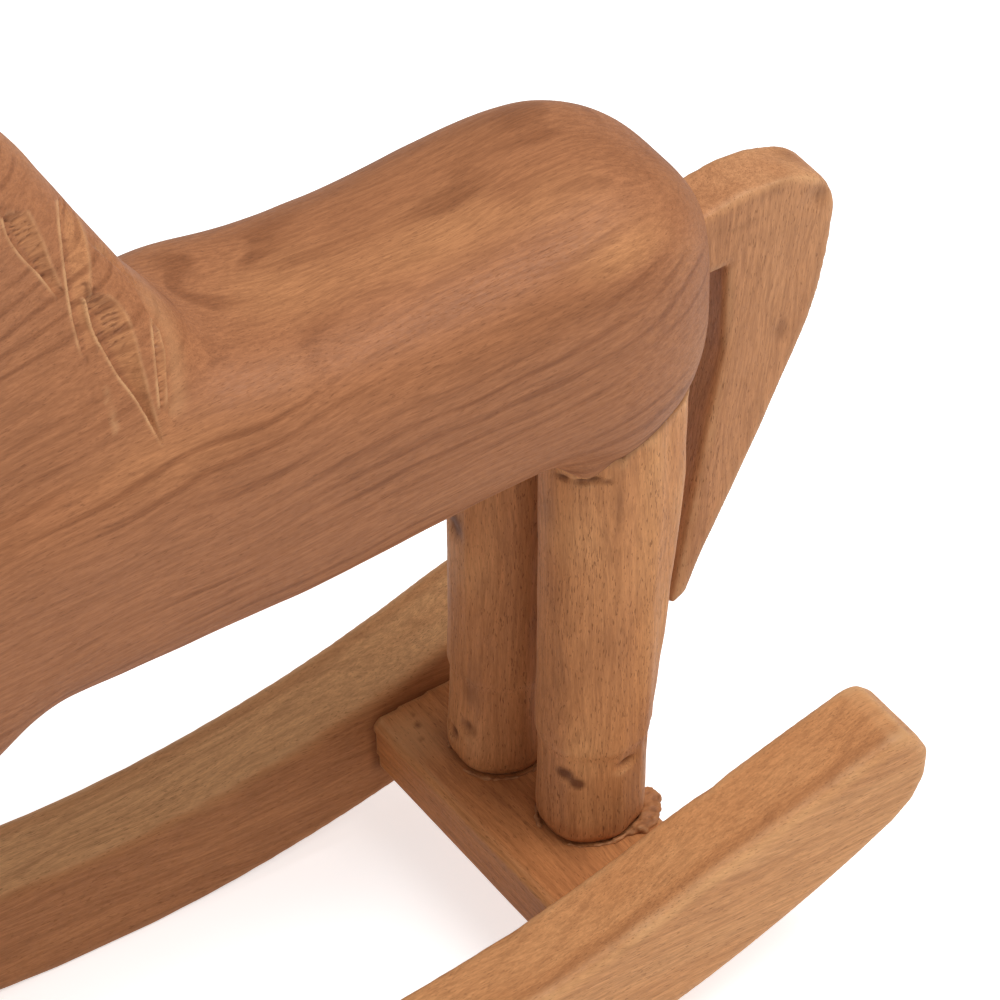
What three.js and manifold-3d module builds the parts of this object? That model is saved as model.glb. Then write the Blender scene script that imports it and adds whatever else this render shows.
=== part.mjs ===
// Wooden rocking horse figurine, carved in one block and glued up on two rockers.
// Millimetres, +Z up. The head looks to -X and the tail is at +X; the horse's left side is -Y.
// The origin is on the floor, under the middle of the rockers.

import * as THREE from 'three';
import { mergeVertices } from 'three/addons/utils/BufferGeometryUtils.js';
import Module from 'manifold-3d';

const wasm = await Module();
wasm.setup();

// Sizes that can be changed

// The gap between two pieces that touch
const glueGap = 0.3;

// Rockers
const soleRadius = 322;
const soleFlat = 26;
const rockerSpan = 331;
const rockerHeight = 32;
const rockerTipHeight = 23.5;
const rockerThickness = 23;
const rockerClearWidth = 79;
const rockerEdgeRound = 2.5;
const rockerTaperStart = 105;

// Cross boards
const boardWidth = 37;
const boardThickness = 17;
const boardTilt = THREE.MathUtils.degToRad(6);
const boardSink = 10.5;
const boardEdgeRound = 1.5;
const rearBoardX = 94;
const frontBoardX = -94;

// Body block
const bellyHeight = 150;
const bodyDepth = 70.5;
const bodyWidth = 70;
const bodyPower = 3.2;
const endTallPower = 2.75;
const endWidePower = 2.6;
const rumpX = 133.5;
const chestX = -119;
const chestDrop = 24;
const rumpRise = 5.8;
const withersRise = 3;
const haunchDrop = 9;

// Neck and head
const neckBaseX = 5;
const neckReach = 92;
const neckRise = 122;
const neckBaseWidth = 70;
const pollWidth = 38;
const neckPower = 2.2;
const neckTaper = 0.24;
const headReach = 93.7;
const headDrop = 78;
const headDepth = 60;
const headPower = 2.5;
const headTaper = -0.1;
const cheekWidth = 42;
const muzzleDepth = 35;
const muzzleWidth = 31;
const earLength = 26;
const earWidth = 14;

// Mane
const gougeWidth = 6;
const gougeDepth = 2.4;

// Legs
const footRadius = 13;
const thighLength = 37;
const forearmLength = 33;
const thighWidth = 26;
const footEdgeRound = 2;
const legLap = 15;
const hindLeftFoot = new THREE.Vector2(100.5, -16.5);
const hindRightFoot = new THREE.Vector2(96.5, 14.5);
const foreLeftFoot = new THREE.Vector2(-92, -15.5);
const foreRightFoot = new THREE.Vector2(-92, 15.5);

// Tail
const tailThickness = 15;
const tailReach = 39.5;
const tailTopHeight = 196.5;
const tailLength = 116.5;
const tailNotchDrop = 20;
const tailNotchGap = 9.5;
const tailTipWidth = 5;
const tailEdgeRound = 2;
const tailStub = 15;

// Values worked out from the sizes
const backHeight = bellyHeight + bodyDepth;
const bodyLength = rumpX - chestX;
const rockerCentreY = (rockerClearWidth + rockerThickness) / 2;
const withers = new THREE.Vector2(neckBaseX, backHeight);
const poll = new THREE.Vector2(neckBaseX - 0.99 * neckReach, backHeight + 0.97 * neckRise);

// How finely the round shapes are divided
const bodySides = 28;
const bodyStations = 30;
const neckSides = 24;
const neckStations = 14;
const headStations = 14;
const earSides = 12;
const earStations = 6;
const gougeStations = 8;
const legSides = 24;
const soleSegments = 13;
const topSegments = 15;
const noseSegments = 3;

// Wood colours
const woods = {
  carved_body: 0xb5794b,
  tail: 0xc08c58,
  leg: 0xb07846,
  board: 0xad7440,
  rocker: 0xb47c4a,
};

function wood(colour) {
  return new THREE.MeshStandardMaterial({ color: colour, roughness: 0.62, metalness: 0 });
}

// Solids

// Turns a closed geometry into a solid that can be joined and cut.
function solidOf(geometry) {
  const bare = new THREE.BufferGeometry();
  bare.setAttribute('position', geometry.getAttribute('position').clone());
  if (geometry.index) {
    bare.setIndex(geometry.index.clone());
  }
  const merged = mergeVertices(bare, 1e-4);
  const vertProperties = new Float32Array(merged.getAttribute('position').array);
  const triVerts = new Uint32Array(merged.index.array);
  return new wasm.Manifold(new wasm.Mesh({ numProp: 3, vertProperties, triVerts }));
}

// Turns a solid back into a geometry.
function geometryOf(solid) {
  const mesh = solid.getMesh();
  const geometry = new THREE.BufferGeometry();
  geometry.setAttribute('position', new THREE.BufferAttribute(new Float32Array(mesh.vertProperties), 3));
  geometry.setIndex(new THREE.BufferAttribute(new Uint32Array(mesh.triVerts), 1));
  geometry.computeVertexNormals();
  return geometry;
}

// Joins rings of points, all with the same count, into a closed skin with a fan at each end,
// and turns its faces outward.
function skin(rings) {
  const sides = rings[0].length;
  const positions = [];
  const index = [];
  for (const ring of rings) {
    for (const point of ring) {
      positions.push(point.x, point.y, point.z);
    }
  }
  for (let ring = 0; ring + 1 < rings.length; ring += 1) {
    for (let side = 0; side < sides; side += 1) {
      const here = ring * sides + side;
      const next = ring * sides + (side + 1) % sides;
      index.push(here, next, next + sides);
      index.push(here, next + sides, here + sides);
    }
  }
  addFan(positions, index, rings[0], 0, true);
  addFan(positions, index, rings[rings.length - 1], (rings.length - 1) * sides, false);
  const geometry = new THREE.BufferGeometry();
  geometry.setAttribute('position', new THREE.Float32BufferAttribute(positions, 3));
  geometry.setIndex(enclosedVolume(positions, index) < 0 ? index.reverse() : index);
  return geometry;
}

// The volume inside a closed skin, negative where its faces point inward.
function enclosedVolume(positions, index) {
  const corners = [new THREE.Vector3(), new THREE.Vector3(), new THREE.Vector3()];
  let volume = 0;
  for (let start = 0; start < index.length; start += 3) {
    corners.forEach((corner, number) => corner.fromArray(positions, index[start + number] * 3));
    volume += corners[0].dot(corners[1].cross(corners[2])) / 6;
  }
  return volume;
}

function addFan(positions, index, ring, offset, atStart) {
  const middle = new THREE.Vector3();
  for (const point of ring) {
    middle.add(point);
  }
  middle.divideScalar(ring.length);
  const hub = positions.length / 3;
  positions.push(middle.x, middle.y, middle.z);
  for (let side = 0; side < ring.length; side += 1) {
    const here = offset + side;
    const next = offset + (side + 1) % ring.length;
    if (atStart) {
      index.push(hub, next, here);
    } else {
      index.push(hub, here, next);
    }
  }
}

// One closed section between an upper and a lower point of the side view: a rounded block
// section, as wide as given at its lower edge. A power of 2 is an ellipse, and more is squarer.
// A taper makes the upper edge that much narrower.
function blockSection(upper, lower, halfWidth, power, sides, taper = 0) {
  const centre = new THREE.Vector2().addVectors(upper, lower).multiplyScalar(0.5);
  const half = new THREE.Vector2().subVectors(upper, lower).multiplyScalar(0.5);
  const ring = [];
  for (let side = 0; side < sides; side += 1) {
    const angle = (2 * Math.PI * (side + 0.5)) / sides;
    const across = Math.sign(Math.cos(angle)) * Math.abs(Math.cos(angle)) ** (2 / power);
    const along = Math.sign(Math.sin(angle)) * Math.abs(Math.sin(angle)) ** (2 / power);
    const y = halfWidth * across * (1 - (taper * (1 + along)) / 2);
    ring.push(new THREE.Vector3(centre.x + half.x * along, y, centre.y + half.y * along));
  }
  return ring;
}

// A smooth line through a few points of the side view.
function sideLine(points) {
  return new THREE.SplineCurve(points.map(([x, z]) => new THREE.Vector2(x, z)));
}

// Falls from 1 to 0 as the share goes from 0 to 1, like the rounded end of a block.
function roundedEnd(share, power) {
  const clamped = THREE.MathUtils.clamp(share, 0, 1);
  return (1 - clamped ** power) ** (1 / power);
}

function smoothRise(value, from, to) {
  return THREE.MathUtils.smoothstep(value, from, to);
}

// Body block

const rumpRound = 0.2 * bodyLength;
const chestRound = 0.2 * bodyLength;

// Height of the belly line: tucked up a little before the hind legs, lower again at the haunch,
// and with a deep chest in front.
function bellyLine(x) {
  const tuckUp = 0.07 * bodyDepth * smoothRise(x, neckBaseX, neckBaseX + 0.28 * bodyLength);
  const haunch = smoothRise(x, rumpX - 0.22 * bodyLength, rumpX - 0.12 * bodyLength);
  const chest = 1 - smoothRise(x, chestX + 0.13 * bodyLength, chestX + 0.3 * bodyLength);
  return bellyHeight + tuckUp - haunchDrop * haunch - chestDrop * chest;
}

// Height of the back line: it climbs to the withers in front and over the rump behind.
function backLine(x) {
  const overRump = smoothRise(x, rumpX - 0.32 * bodyLength, rumpX - 0.08 * bodyLength);
  const overWithers = 1 - smoothRise(x, withers.x - 0.03 * bodyLength, withers.x + 0.09 * bodyLength);
  return backHeight + rumpRise * overRump + withersRise * overWithers;
}

// How much of the full section is left at a place along the body.
function bodyFullness(x, power) {
  const rump = roundedEnd((x - (rumpX - rumpRound)) / rumpRound, power);
  const chest = roundedEnd(((chestX + chestRound) - x) / chestRound, power);
  return rump * chest;
}

// The body block, or the same block grown by a gap on all sides.
function bodyBlock(gap) {
  const rings = [];
  const first = chestX - gap + 0.1;
  const last = rumpX + gap - 0.1;
  for (let station = 0; station <= bodyStations; station += 1) {
    const turn = (Math.PI * station) / bodyStations;
    const x = (first + last) / 2 - ((last - first) / 2) * Math.cos(turn);
    const squeezed = THREE.MathUtils.mapLinear(x, chestX - gap, rumpX + gap, chestX, rumpX);
    const back = backLine(squeezed);
    const belly = bellyLine(squeezed);
    const middle = (back + belly) / 2 + 0.02 * bodyDepth;
    const tall = bodyFullness(squeezed, endTallPower);
    const wide = bodyFullness(squeezed, endWidePower);
    const upper = new THREE.Vector2(x, middle + (back - middle) * tall + gap);
    const lower = new THREE.Vector2(x, middle - (middle - belly) * tall - gap);
    rings.push(blockSection(upper, lower, (bodyWidth / 2) * wide + gap, bodyPower, bodySides));
  }
  return solidOf(skin(rings));
}

// Neck and head

// A point given as shares of the neck's reach forward and of its rise above the back.
function neckPoint(forward, up) {
  return [withers.x - neckReach * forward, withers.y + neckRise * up];
}

// The neck starts as squarish as the body block, and grows rounder and narrower at its crest.
function neckBlock() {
  const crest = sideLine([
    neckPoint(0.06, -0.3),
    neckPoint(0.035, 0.015),
    neckPoint(0.175, 0.2),
    neckPoint(0.31, 0.38),
    neckPoint(0.46, 0.57),
    neckPoint(0.67, 0.77),
    neckPoint(0.9, 0.93),
  ]);
  const throat = sideLine([
    neckPoint(1.08, -0.5),
    neckPoint(1.22, -0.28),
    neckPoint(1.28, -0.05),
    neckPoint(1.2, 0.12),
    neckPoint(1.12, 0.26),
    neckPoint(1.06, 0.4),
    neckPoint(1.12, 0.62),
  ]);
  const rings = [];
  for (let station = 0; station <= neckStations; station += 1) {
    const share = station / neckStations;
    const settled = smoothRise(share, 0.1, 0.5);
    const width = THREE.MathUtils.lerp(neckBaseWidth, pollWidth, share ** 0.75);
    const power = THREE.MathUtils.lerp(bodyPower, neckPower, settled);
    const upper = crest.getPoint(share);
    const lower = throat.getPoint(share);
    rings.push(blockSection(upper, lower, width / 2, power, neckSides, neckTaper * settled));
  }
  return solidOf(skin(rings));
}

// A place of the head, by its share of the way from the poll to the muzzle, and by the distance
// below that line towards the throat.
function headPlace(share, below) {
  const along = new THREE.Vector2(-headReach, -headDrop);
  const under = new THREE.Vector2(headDrop, -headReach).normalize();
  return poll.clone().addScaledVector(along, share).addScaledVector(under, below);
}

// The head is deepest at the cheek, tapers to the muzzle, and is rounded off at the lips.
function headBlock() {
  const rings = [];
  for (let station = 0; station <= headStations; station += 1) {
    const turn = (Math.PI * station) / headStations;
    const share = 0.5 - 0.49 * Math.cos(turn);
    const skull = roundedEnd(1 - share / 0.35, 2);
    const lips = roundedEnd((share - 0.84) / 0.16, 2.4);
    const taper = smoothRise(share, 0.3, 0.78);
    const depth = THREE.MathUtils.lerp(headDepth, muzzleDepth, taper);
    const width = THREE.MathUtils.lerp(cheekWidth, muzzleWidth, taper);
    const brow = 0.08 * headDepth * Math.sin(Math.PI * Math.min(share * 1.6, 1));
    const middle = depth / 2 - brow;
    const upper = headPlace(share, middle - (depth / 2) * Math.min(skull * 1.6, 1) * lips);
    const lower = headPlace(share, middle + (depth / 2) * skull * lips);
    rings.push(blockSection(upper, lower, (width / 2) * skull * lips, headPower, neckSides, headTaper));
  }
  return solidOf(skin(rings));
}

function ear(side) {
  const base = new THREE.Vector2(poll.x + 0.1 * earLength, poll.y - 0.35 * earLength);
  const tip = new THREE.Vector2(poll.x - 0.15 * earLength, poll.y + earLength);
  const rings = [];
  for (let station = 0; station <= earStations; station += 1) {
    const share = station / earStations;
    const middle = new THREE.Vector2().lerpVectors(base, tip, share);
    const swell = Math.sqrt(1 - (0.98 * share) ** 2) * (0.75 + 0.25 * Math.sin(Math.PI * share));
    const half = (earWidth / 2) * swell;
    const ring = [];
    for (let step = 0; step < earSides; step += 1) {
      const angle = (2 * Math.PI * step) / earSides;
      const x = middle.x + half * Math.cos(angle);
      const y = side * (0.24 * pollWidth + 0.14 * earLength * share) + 0.62 * half * Math.sin(angle);
      ring.push(new THREE.Vector3(x, y, middle.y));
    }
    rings.push(ring);
  }
  return solidOf(skin(rings));
}

// Carving

// Looks across the horse at a place of its side view, and gives the carved surface there.
function surfaceFinder(solid) {
  const geometry = geometryOf(solid);
  const target = new THREE.Mesh(geometry, new THREE.MeshStandardMaterial());
  const ray = new THREE.Raycaster();
  return (x, z, side) => {
    ray.set(new THREE.Vector3(x, side * bodyWidth * 3, z), new THREE.Vector3(0, -side, 0));
    const hit = ray.intersectObject(target)[0];
    return hit ? hit.point : null;
  };
}

// A long V-shaped cut that follows a line on the side of the horse, deepest in its middle.
function gouge(line, side, find, width, depth) {
  const rings = [];
  for (let station = 0; station <= gougeStations; station += 1) {
    const share = station / gougeStations;
    const place = line.getPoint(share);
    const hit = find(place.x, place.y, side);
    if (!hit) {
      continue;
    }
    const ahead = line.getTangent(share);
    const across = new THREE.Vector2(-ahead.y, ahead.x);
    const swell = 0.08 + 0.92 * Math.sin(Math.PI * THREE.MathUtils.clamp(share, 0.02, 0.98)) ** 0.7;
    const half = (width / 2) * swell;
    const lift = 0.8 * depth;
    const corner = (reach, level) => new THREE.Vector3(
      hit.x + across.x * reach,
      hit.y + side * level,
      hit.z + across.y * reach,
    );
    const ring = [
      corner(-half * 1.8, lift),
      corner(half * 1.8, lift),
      corner(0.35 * half, -depth * swell),
      corner(-0.35 * half, -depth * swell),
    ];
    rings.push(ring);
  }
  return solidOf(skin(rings));
}

// Lines of the mane, from the crest down and back to the tips, as shares of the neck.
const maneLines = [
  [neckPoint(0.314, 0.255), neckPoint(0.298, 0.163), neckPoint(0.273, 0.054), neckPoint(0.249, -0.044)],
  [neckPoint(0.16, 0.134), neckPoint(0.195, 0.062), neckPoint(0.226, 0.011)],
  [neckPoint(0.332, 0.378), neckPoint(0.36, 0.285), neckPoint(0.396, 0.167)],
  [neckPoint(0.526, 0.505), neckPoint(0.485, 0.406), neckPoint(0.429, 0.307)],
  [neckPoint(0.64, 0.68), neckPoint(0.61, 0.57), neckPoint(0.555, 0.46)],
  [neckPoint(0.76, 0.8), neckPoint(0.71, 0.64), neckPoint(0.66, 0.52)],
  [neckPoint(0.87, 0.86), neckPoint(0.83, 0.72), neckPoint(0.78, 0.6)],
];

function carvedBody() {
  let block = bodyBlock(0).add(neckBlock()).add(headBlock()).add(ear(-1)).add(ear(1));
  const find = surfaceFinder(block);
  for (const side of [-1, 1]) {
    for (const points of maneLines) {
      block = block.subtract(gouge(sideLine(points), side, find, gougeWidth, gougeDepth));
    }
  }
  return geometryOf(block);
}

// Legs

// Height of the rocker's top edge at a place along it.
function rockerTop(x) {
  return soleRadius - Math.sqrt((soleRadius - rockerHeight) ** 2 - x ** 2);
}

function boardCentre(x) {
  return new THREE.Vector2(x, rockerTop(x) - boardSink);
}

// A tapered round peg, wider at the top. A lean of 1 gives all the widening to the rear, and 0
// shares it between front and rear. The foot is cut to the slope of its cross board.
function leg(foot, boardX, topLength, lean) {
  const board = boardCentre(boardX);
  const slope = Math.tan(boardTilt) * Math.sign(boardX);
  const footHeight = board.y + slope * (foot.x - board.x) + glueGap;
  const top = bellyLine(foot.x) + legLap;
  const height = top - footHeight;
  const levels = [0, footEdgeRound / height, (3 * footEdgeRound) / height, 0.25, 0.5, 0.75, 1];
  const rings = levels.map((level, number) => {
    const eased = smoothRise(level, 0.05, 0.95);
    const foots = [0.86, 0.97, 1][number] ?? 1;
    const halfLength = THREE.MathUtils.lerp(footRadius, topLength / 2, eased) * foots;
    const halfWidth = THREE.MathUtils.lerp(footRadius, thighWidth / 2, eased) * foots;
    const centreX = foot.x + lean * (topLength / 2 - footRadius) * eased;
    const ring = [];
    for (let side = 0; side < legSides; side += 1) {
      const angle = (2 * Math.PI * side) / legSides;
      const x = centreX + halfLength * Math.cos(angle);
      const y = foot.y + halfWidth * Math.sin(angle);
      const tilt = slope * (x - foot.x) * (1 - level);
      ring.push(new THREE.Vector3(x, y, footHeight + level * height + tilt));
    }
    return ring;
  });
  return geometryOf(solidOf(skin(rings)).subtract(bodyBlock(glueGap)));
}

// Cross boards

function crossBoard(x) {
  const length = rockerClearWidth - 2 * glueGap;
  const half = boardWidth / 2;
  const round = boardEdgeRound;
  const section = new THREE.Shape();
  section.moveTo(-half + round, 0);
  section.lineTo(-half, -round);
  section.lineTo(-half, -boardThickness + round);
  section.lineTo(-half + round, -boardThickness);
  section.lineTo(half - round, -boardThickness);
  section.lineTo(half, -boardThickness + round);
  section.lineTo(half, -round);
  section.lineTo(half - round, 0);
  section.closePath();
  const geometry = new THREE.ExtrudeGeometry(section, { depth: length, bevelEnabled: false });
  geometry.translate(0, 0, -length / 2);
  geometry.rotateX(Math.PI / 2);
  geometry.rotateY(-Math.sign(x) * boardTilt);
  const centre = boardCentre(x);
  geometry.translate(centre.x, 0, centre.y);
  return geometryOf(solidOf(geometry));
}

// Rockers

// A place of the rocker's side view, by its angle and radius about the centre of the sole.
function rockerPoint(angle, radius) {
  return new THREE.Vector2(radius * Math.sin(angle), soleRadius - radius * Math.cos(angle));
}

// Places along an arc of the rocker.
function rockerArc(from, to, radius, segments) {
  const places = [];
  for (let step = 0; step <= segments; step += 1) {
    places.push(rockerPoint(THREE.MathUtils.lerp(from, to, step / segments), radius));
  }
  return places;
}

// The outline runs along the sole, which is worn to a small flat where the horse stands, round
// the nose, and back along the top.
function rockerOutline() {
  const noseRadius = soleRadius - 0.45 * rockerTipHeight;
  const endAngle = Math.asin(rockerSpan / 2 / noseRadius);
  const soleAngle = endAngle - (0.75 * rockerTipHeight) / soleRadius;
  const taperAngle = Math.asin(rockerTaperStart / (soleRadius - rockerHeight));
  const tipRadius = soleRadius - rockerTipHeight;
  const noseLow = rockerPoint(endAngle - 0.018, soleRadius);
  const nose = rockerPoint(endAngle, noseRadius);
  const noseHigh = rockerPoint(endAngle + 0.006, tipRadius + 1.5);
  const tip = rockerPoint(endAngle - 0.014, tipRadius);
  const heel = rockerPoint(soleAngle, soleRadius);
  const lowerNose = new THREE.QuadraticBezierCurve(heel, noseLow, nose).getPoints(noseSegments);
  const upperNose = new THREE.QuadraticBezierCurve(nose, noseHigh, tip).getPoints(noseSegments);
  const right = [...lowerNose.slice(0, -1), ...upperNose];
  const left = right.map((point) => new THREE.Vector2(-point.x, point.y)).reverse();
  const flatAngle = Math.asin(soleFlat / 2 / soleRadius);
  const soleLeft = rockerArc(-soleAngle, -flatAngle, soleRadius, soleSegments);
  const soleRight = rockerArc(flatAngle, soleAngle, soleRadius, soleSegments);
  const top = rockerArc(taperAngle, -taperAngle, soleRadius - rockerHeight, topSegments);
  return new THREE.Shape([...soleLeft.slice(1), ...soleRight.slice(0, -1), ...right, ...top, ...left]);
}

function rocker(side) {
  const round = rockerEdgeRound;
  const geometry = new THREE.ExtrudeGeometry(rockerOutline(), {
    depth: rockerThickness - 2 * round,
    bevelThickness: round,
    bevelSize: round,
    bevelOffset: -round,
    bevelSegments: 2,
  });
  geometry.translate(0, 0, -(rockerThickness - 2 * round) / 2);
  geometry.rotateX(Math.PI / 2);
  geometry.computeBoundingBox();
  geometry.translate(0, side * rockerCentreY, -geometry.boundingBox.min.z);
  return geometryOf(solidOf(geometry));
}

// Tail

// A flat board behind the rump. Its stub is fitted to the rump, and below the stub its front
// edge stands clear of the rump and slants forward to a narrow tip.
function tail() {
  const top = tailTopHeight;
  const notch = top - tailNotchDrop;
  const front = rumpX + tailNotchGap;
  const rear = rumpX + tailReach;
  const low = top - tailLength;
  const stubStart = rumpX - tailStub;
  const outline = new THREE.Shape();
  outline.moveTo(stubStart, notch);
  outline.lineTo(front, notch);
  outline.lineTo(front - 0.5, notch - 0.22 * tailLength);
  outline.lineTo(front - 0.09 * tailLength, low + 0.15 * tailLength);
  outline.lineTo(front - 0.12 * tailLength, low);
  outline.lineTo(front - 0.12 * tailLength + tailTipWidth, low + 0.02 * tailLength);
  outline.bezierCurveTo(
    front + 0.2 * tailReach, low + 0.36 * tailLength,
    rear - 0.06 * tailReach, low + 0.56 * tailLength,
    rear, top - 0.16 * tailLength,
  );
  outline.bezierCurveTo(
    rear + 0.05 * tailReach, top - 0.05 * tailLength,
    rear - 0.2 * tailReach, top,
    rear - 0.62 * tailReach, top,
  );
  outline.lineTo(stubStart, top - 0.05 * tailLength);
  outline.closePath();
  const round = tailEdgeRound;
  const geometry = new THREE.ExtrudeGeometry(outline, {
    depth: tailThickness - 2 * round,
    curveSegments: 10,
    bevelThickness: round,
    bevelSize: round,
    bevelOffset: -round,
    bevelSegments: 2,
  });
  geometry.translate(0, 0, -(tailThickness - 2 * round) / 2);
  geometry.rotateX(Math.PI / 2);
  return geometryOf(solidOf(geometry).subtract(bodyBlock(glueGap)));
}

// Horse

const horse = new THREE.Group();

function add(name, geometry, colour) {
  const mesh = new THREE.Mesh(geometry, wood(colour));
  mesh.name = name;
  horse.add(mesh);
}

add('carved_body', carvedBody(), woods.carved_body);
add('tail', tail(), woods.tail);
add('hind_leg_left', leg(hindLeftFoot, rearBoardX, thighLength, 1), woods.leg);
add('hind_leg_right', leg(hindRightFoot, rearBoardX, thighLength, 1), woods.leg);
add('fore_leg_left', leg(foreLeftFoot, frontBoardX, forearmLength, 0), woods.leg);
add('fore_leg_right', leg(foreRightFoot, frontBoardX, forearmLength, 0), woods.leg);
add('rear_cross_board', crossBoard(rearBoardX), woods.board);
add('front_cross_board', crossBoard(frontBoardX), woods.board);
add('left_rocker', rocker(-1), woods.rocker);
add('right_rocker', rocker(1), woods.rocker);

export default horse;
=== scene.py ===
"""A carved wooden rocking horse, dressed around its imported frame.

The frame gives the pieces at their real size. This script rebuilds them as fine carved wood:
worn edges, gouged mane, knots, dents, glue beads and grain. Shape functions work in millimetres
and every mesh is made in metres.
"""

import math

import bmesh
import bpy
import numpy as np
from bpy.props import FloatProperty, FloatVectorProperty, PointerProperty
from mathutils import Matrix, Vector
from mathutils.bvhtree import BVHTree


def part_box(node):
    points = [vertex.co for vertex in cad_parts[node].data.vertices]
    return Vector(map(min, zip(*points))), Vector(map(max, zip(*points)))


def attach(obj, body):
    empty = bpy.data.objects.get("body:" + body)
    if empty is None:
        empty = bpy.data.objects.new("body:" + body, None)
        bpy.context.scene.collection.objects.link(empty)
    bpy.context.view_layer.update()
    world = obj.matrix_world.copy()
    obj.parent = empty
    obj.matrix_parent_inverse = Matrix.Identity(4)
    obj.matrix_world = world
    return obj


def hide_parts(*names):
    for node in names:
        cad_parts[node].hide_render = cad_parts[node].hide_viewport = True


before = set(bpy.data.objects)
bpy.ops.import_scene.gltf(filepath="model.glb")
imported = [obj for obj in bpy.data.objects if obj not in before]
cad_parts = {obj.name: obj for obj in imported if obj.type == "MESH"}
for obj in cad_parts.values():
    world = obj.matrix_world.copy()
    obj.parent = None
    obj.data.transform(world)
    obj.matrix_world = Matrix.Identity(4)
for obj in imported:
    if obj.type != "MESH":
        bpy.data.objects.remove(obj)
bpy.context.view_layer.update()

bl_info = {
    "name": "Carved rocking horse",
    "version": (1, 0, 0),
    "blender": (4, 5, 0),
    "location": "3D View > Sidebar > Horse",
    "description": "Carved and oiled wood for a small rocking horse",
    "category": "Object",
}

MM = 0.001
LEFT, RIGHT = -1, 1
SIDES = {LEFT: "left", RIGHT: "right"}

# Sizes of the body block, in millimetres

GLUE_GAP = 0.3
BELLY_HEIGHT = 150.0
BODY_DEPTH = 70.5
BODY_WIDTH = 70.0
BODY_POWER = 3.2
END_TALL_POWER = 2.75
END_WIDE_POWER = 2.6
BACK_HEIGHT = BELLY_HEIGHT + BODY_DEPTH
RUMP_X = 133.5
CHEST_X = -119.0
BODY_LENGTH = RUMP_X - CHEST_X
CHEST_DROP = 24.0
HAUNCH_DROP = 9.0
RUMP_RISE = 5.8
WITHERS_RISE = 3.0
END_ROUND = 0.2 * BODY_LENGTH

# Sizes of the neck and head, in millimetres

WITHERS = np.array([5.0, BACK_HEIGHT])
NECK_REACH = 92.0
NECK_RISE = 122.0
NECK_BASE_WIDTH = 70.0
NECK_POWER = 2.2
NECK_TAPER = 0.24
POLL_WIDTH = 38.0
POLL = WITHERS + np.array([-0.99 * NECK_REACH, 0.97 * NECK_RISE])
HEAD_REACH = 93.7
HEAD_DROP = 78.0
HEAD_DEPTH = 60.0
HEAD_POWER = 2.5
HEAD_TAPER = -0.1
CHEEK_WIDTH = 42.0
MUZZLE_DEPTH = 35.0
MUZZLE_WIDTH = 31.0
EAR_LENGTH = 26.0
EAR_WIDTH = 14.0

# How finely the block is drawn before it is meshed

BODY_SIDES = 96
BODY_STATIONS = 120
NECK_SIDES = 72
NECK_STATIONS = 60
HEAD_STATIONS = 60
EAR_SIDES = 32
EAR_STATIONS = 24


# Small helpers


def smooth_rise(value, start, end):
    """0 before start and 1 after end, with a smooth rise between."""
    share = np.clip((np.asarray(value, float) - start) / (end - start), 0, 1)
    return share * share * (3 - 2 * share)


def rounded_end(share, power):
    """Falls from 1 to 0 as the share goes from 0 to 1, like the rounded end of a block."""
    return (1 - np.clip(share, 0, 1) ** power) ** (1 / power)


def bell(distance, reach):
    """1 in the middle and 0 from the reach outward."""
    return smooth_rise(-np.abs(distance), -reach, 0)


def spline(points, count):
    """Places along a smooth curve through the points, spread evenly over its spans."""
    points = np.array(points, float)
    padded = np.vstack([2 * points[0] - points[1], points, 2 * points[-1] - points[-2]])
    places = []
    for share in np.linspace(0, len(points) - 1, count):
        span = min(int(share), len(points) - 2)
        t = share - span
        a, b, c, d = padded[span : span + 4]
        bend = 2 * a - 5 * b + 4 * c - d
        twist = 3 * b - a - 3 * c + d
        places.append(0.5 * (2 * b + (c - a) * t + bend * t * t + twist * t**3))
    return np.array(places)


def hashed_noise(points, seed):
    """Repeatable values from -1 to 1 that change smoothly over space, one cell a unit."""
    points = np.asarray(points, float)
    cell = np.floor(points)
    part = points - cell
    part = part * part * (3 - 2 * part)
    total = np.zeros(len(points))
    for corner in range(8):
        step = np.array([corner & 1, corner >> 1 & 1, corner >> 2 & 1], float)
        spot = (cell + step) @ np.array([127.1, 311.7, 74.7]) + seed * 53.3
        value = np.sin(spot) * 43758.5453
        weight = np.prod(np.where(step == 1, part, 1 - part), axis=1)
        total += weight * (2 * (value - np.floor(value)) - 1)
    return total


# Meshes


def new_object(name, vertices, faces):
    mesh = bpy.data.meshes.new(name)
    mesh.from_pydata([tuple(v) for v in np.asarray(vertices) * MM], [], faces)
    mesh.update()
    piece = bpy.data.objects.new(name, mesh)
    bpy.context.scene.collection.objects.link(piece)
    return piece


def points_of(piece):
    """The vertices of a piece, in millimetres."""
    flat = np.empty(len(piece.data.vertices) * 3, np.float32)
    piece.data.vertices.foreach_get("co", flat)
    return flat.reshape(-1, 3).astype(float) / MM


def set_points(piece, points):
    flat = np.ascontiguousarray(points * MM, np.float32).ravel()
    piece.data.vertices.foreach_set("co", flat)
    piece.data.update()


def normals_of(piece):
    flat = np.empty(len(piece.data.vertices) * 3, np.float32)
    piece.data.vertex_normals.foreach_get("vector", flat)
    return flat.reshape(-1, 3).astype(float)


def edges_of(piece):
    flat = np.empty(len(piece.data.edges) * 2, np.int32)
    piece.data.edges.foreach_get("vertices", flat)
    return flat.reshape(-1, 2)


def neighbour_mean(values, edges):
    """The mean of each vertex's neighbours."""
    count = len(values)
    columns = values.reshape(count, -1)
    ends = np.concatenate([edges[:, 0], edges[:, 1]])
    others = np.concatenate([edges[:, 1], edges[:, 0]])
    degree = np.maximum(np.bincount(ends, minlength=count), 1)
    sums = [np.bincount(ends, column[others], count) for column in columns.T]
    return (np.array(sums).T / degree[:, None]).reshape(values.shape)


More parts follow.
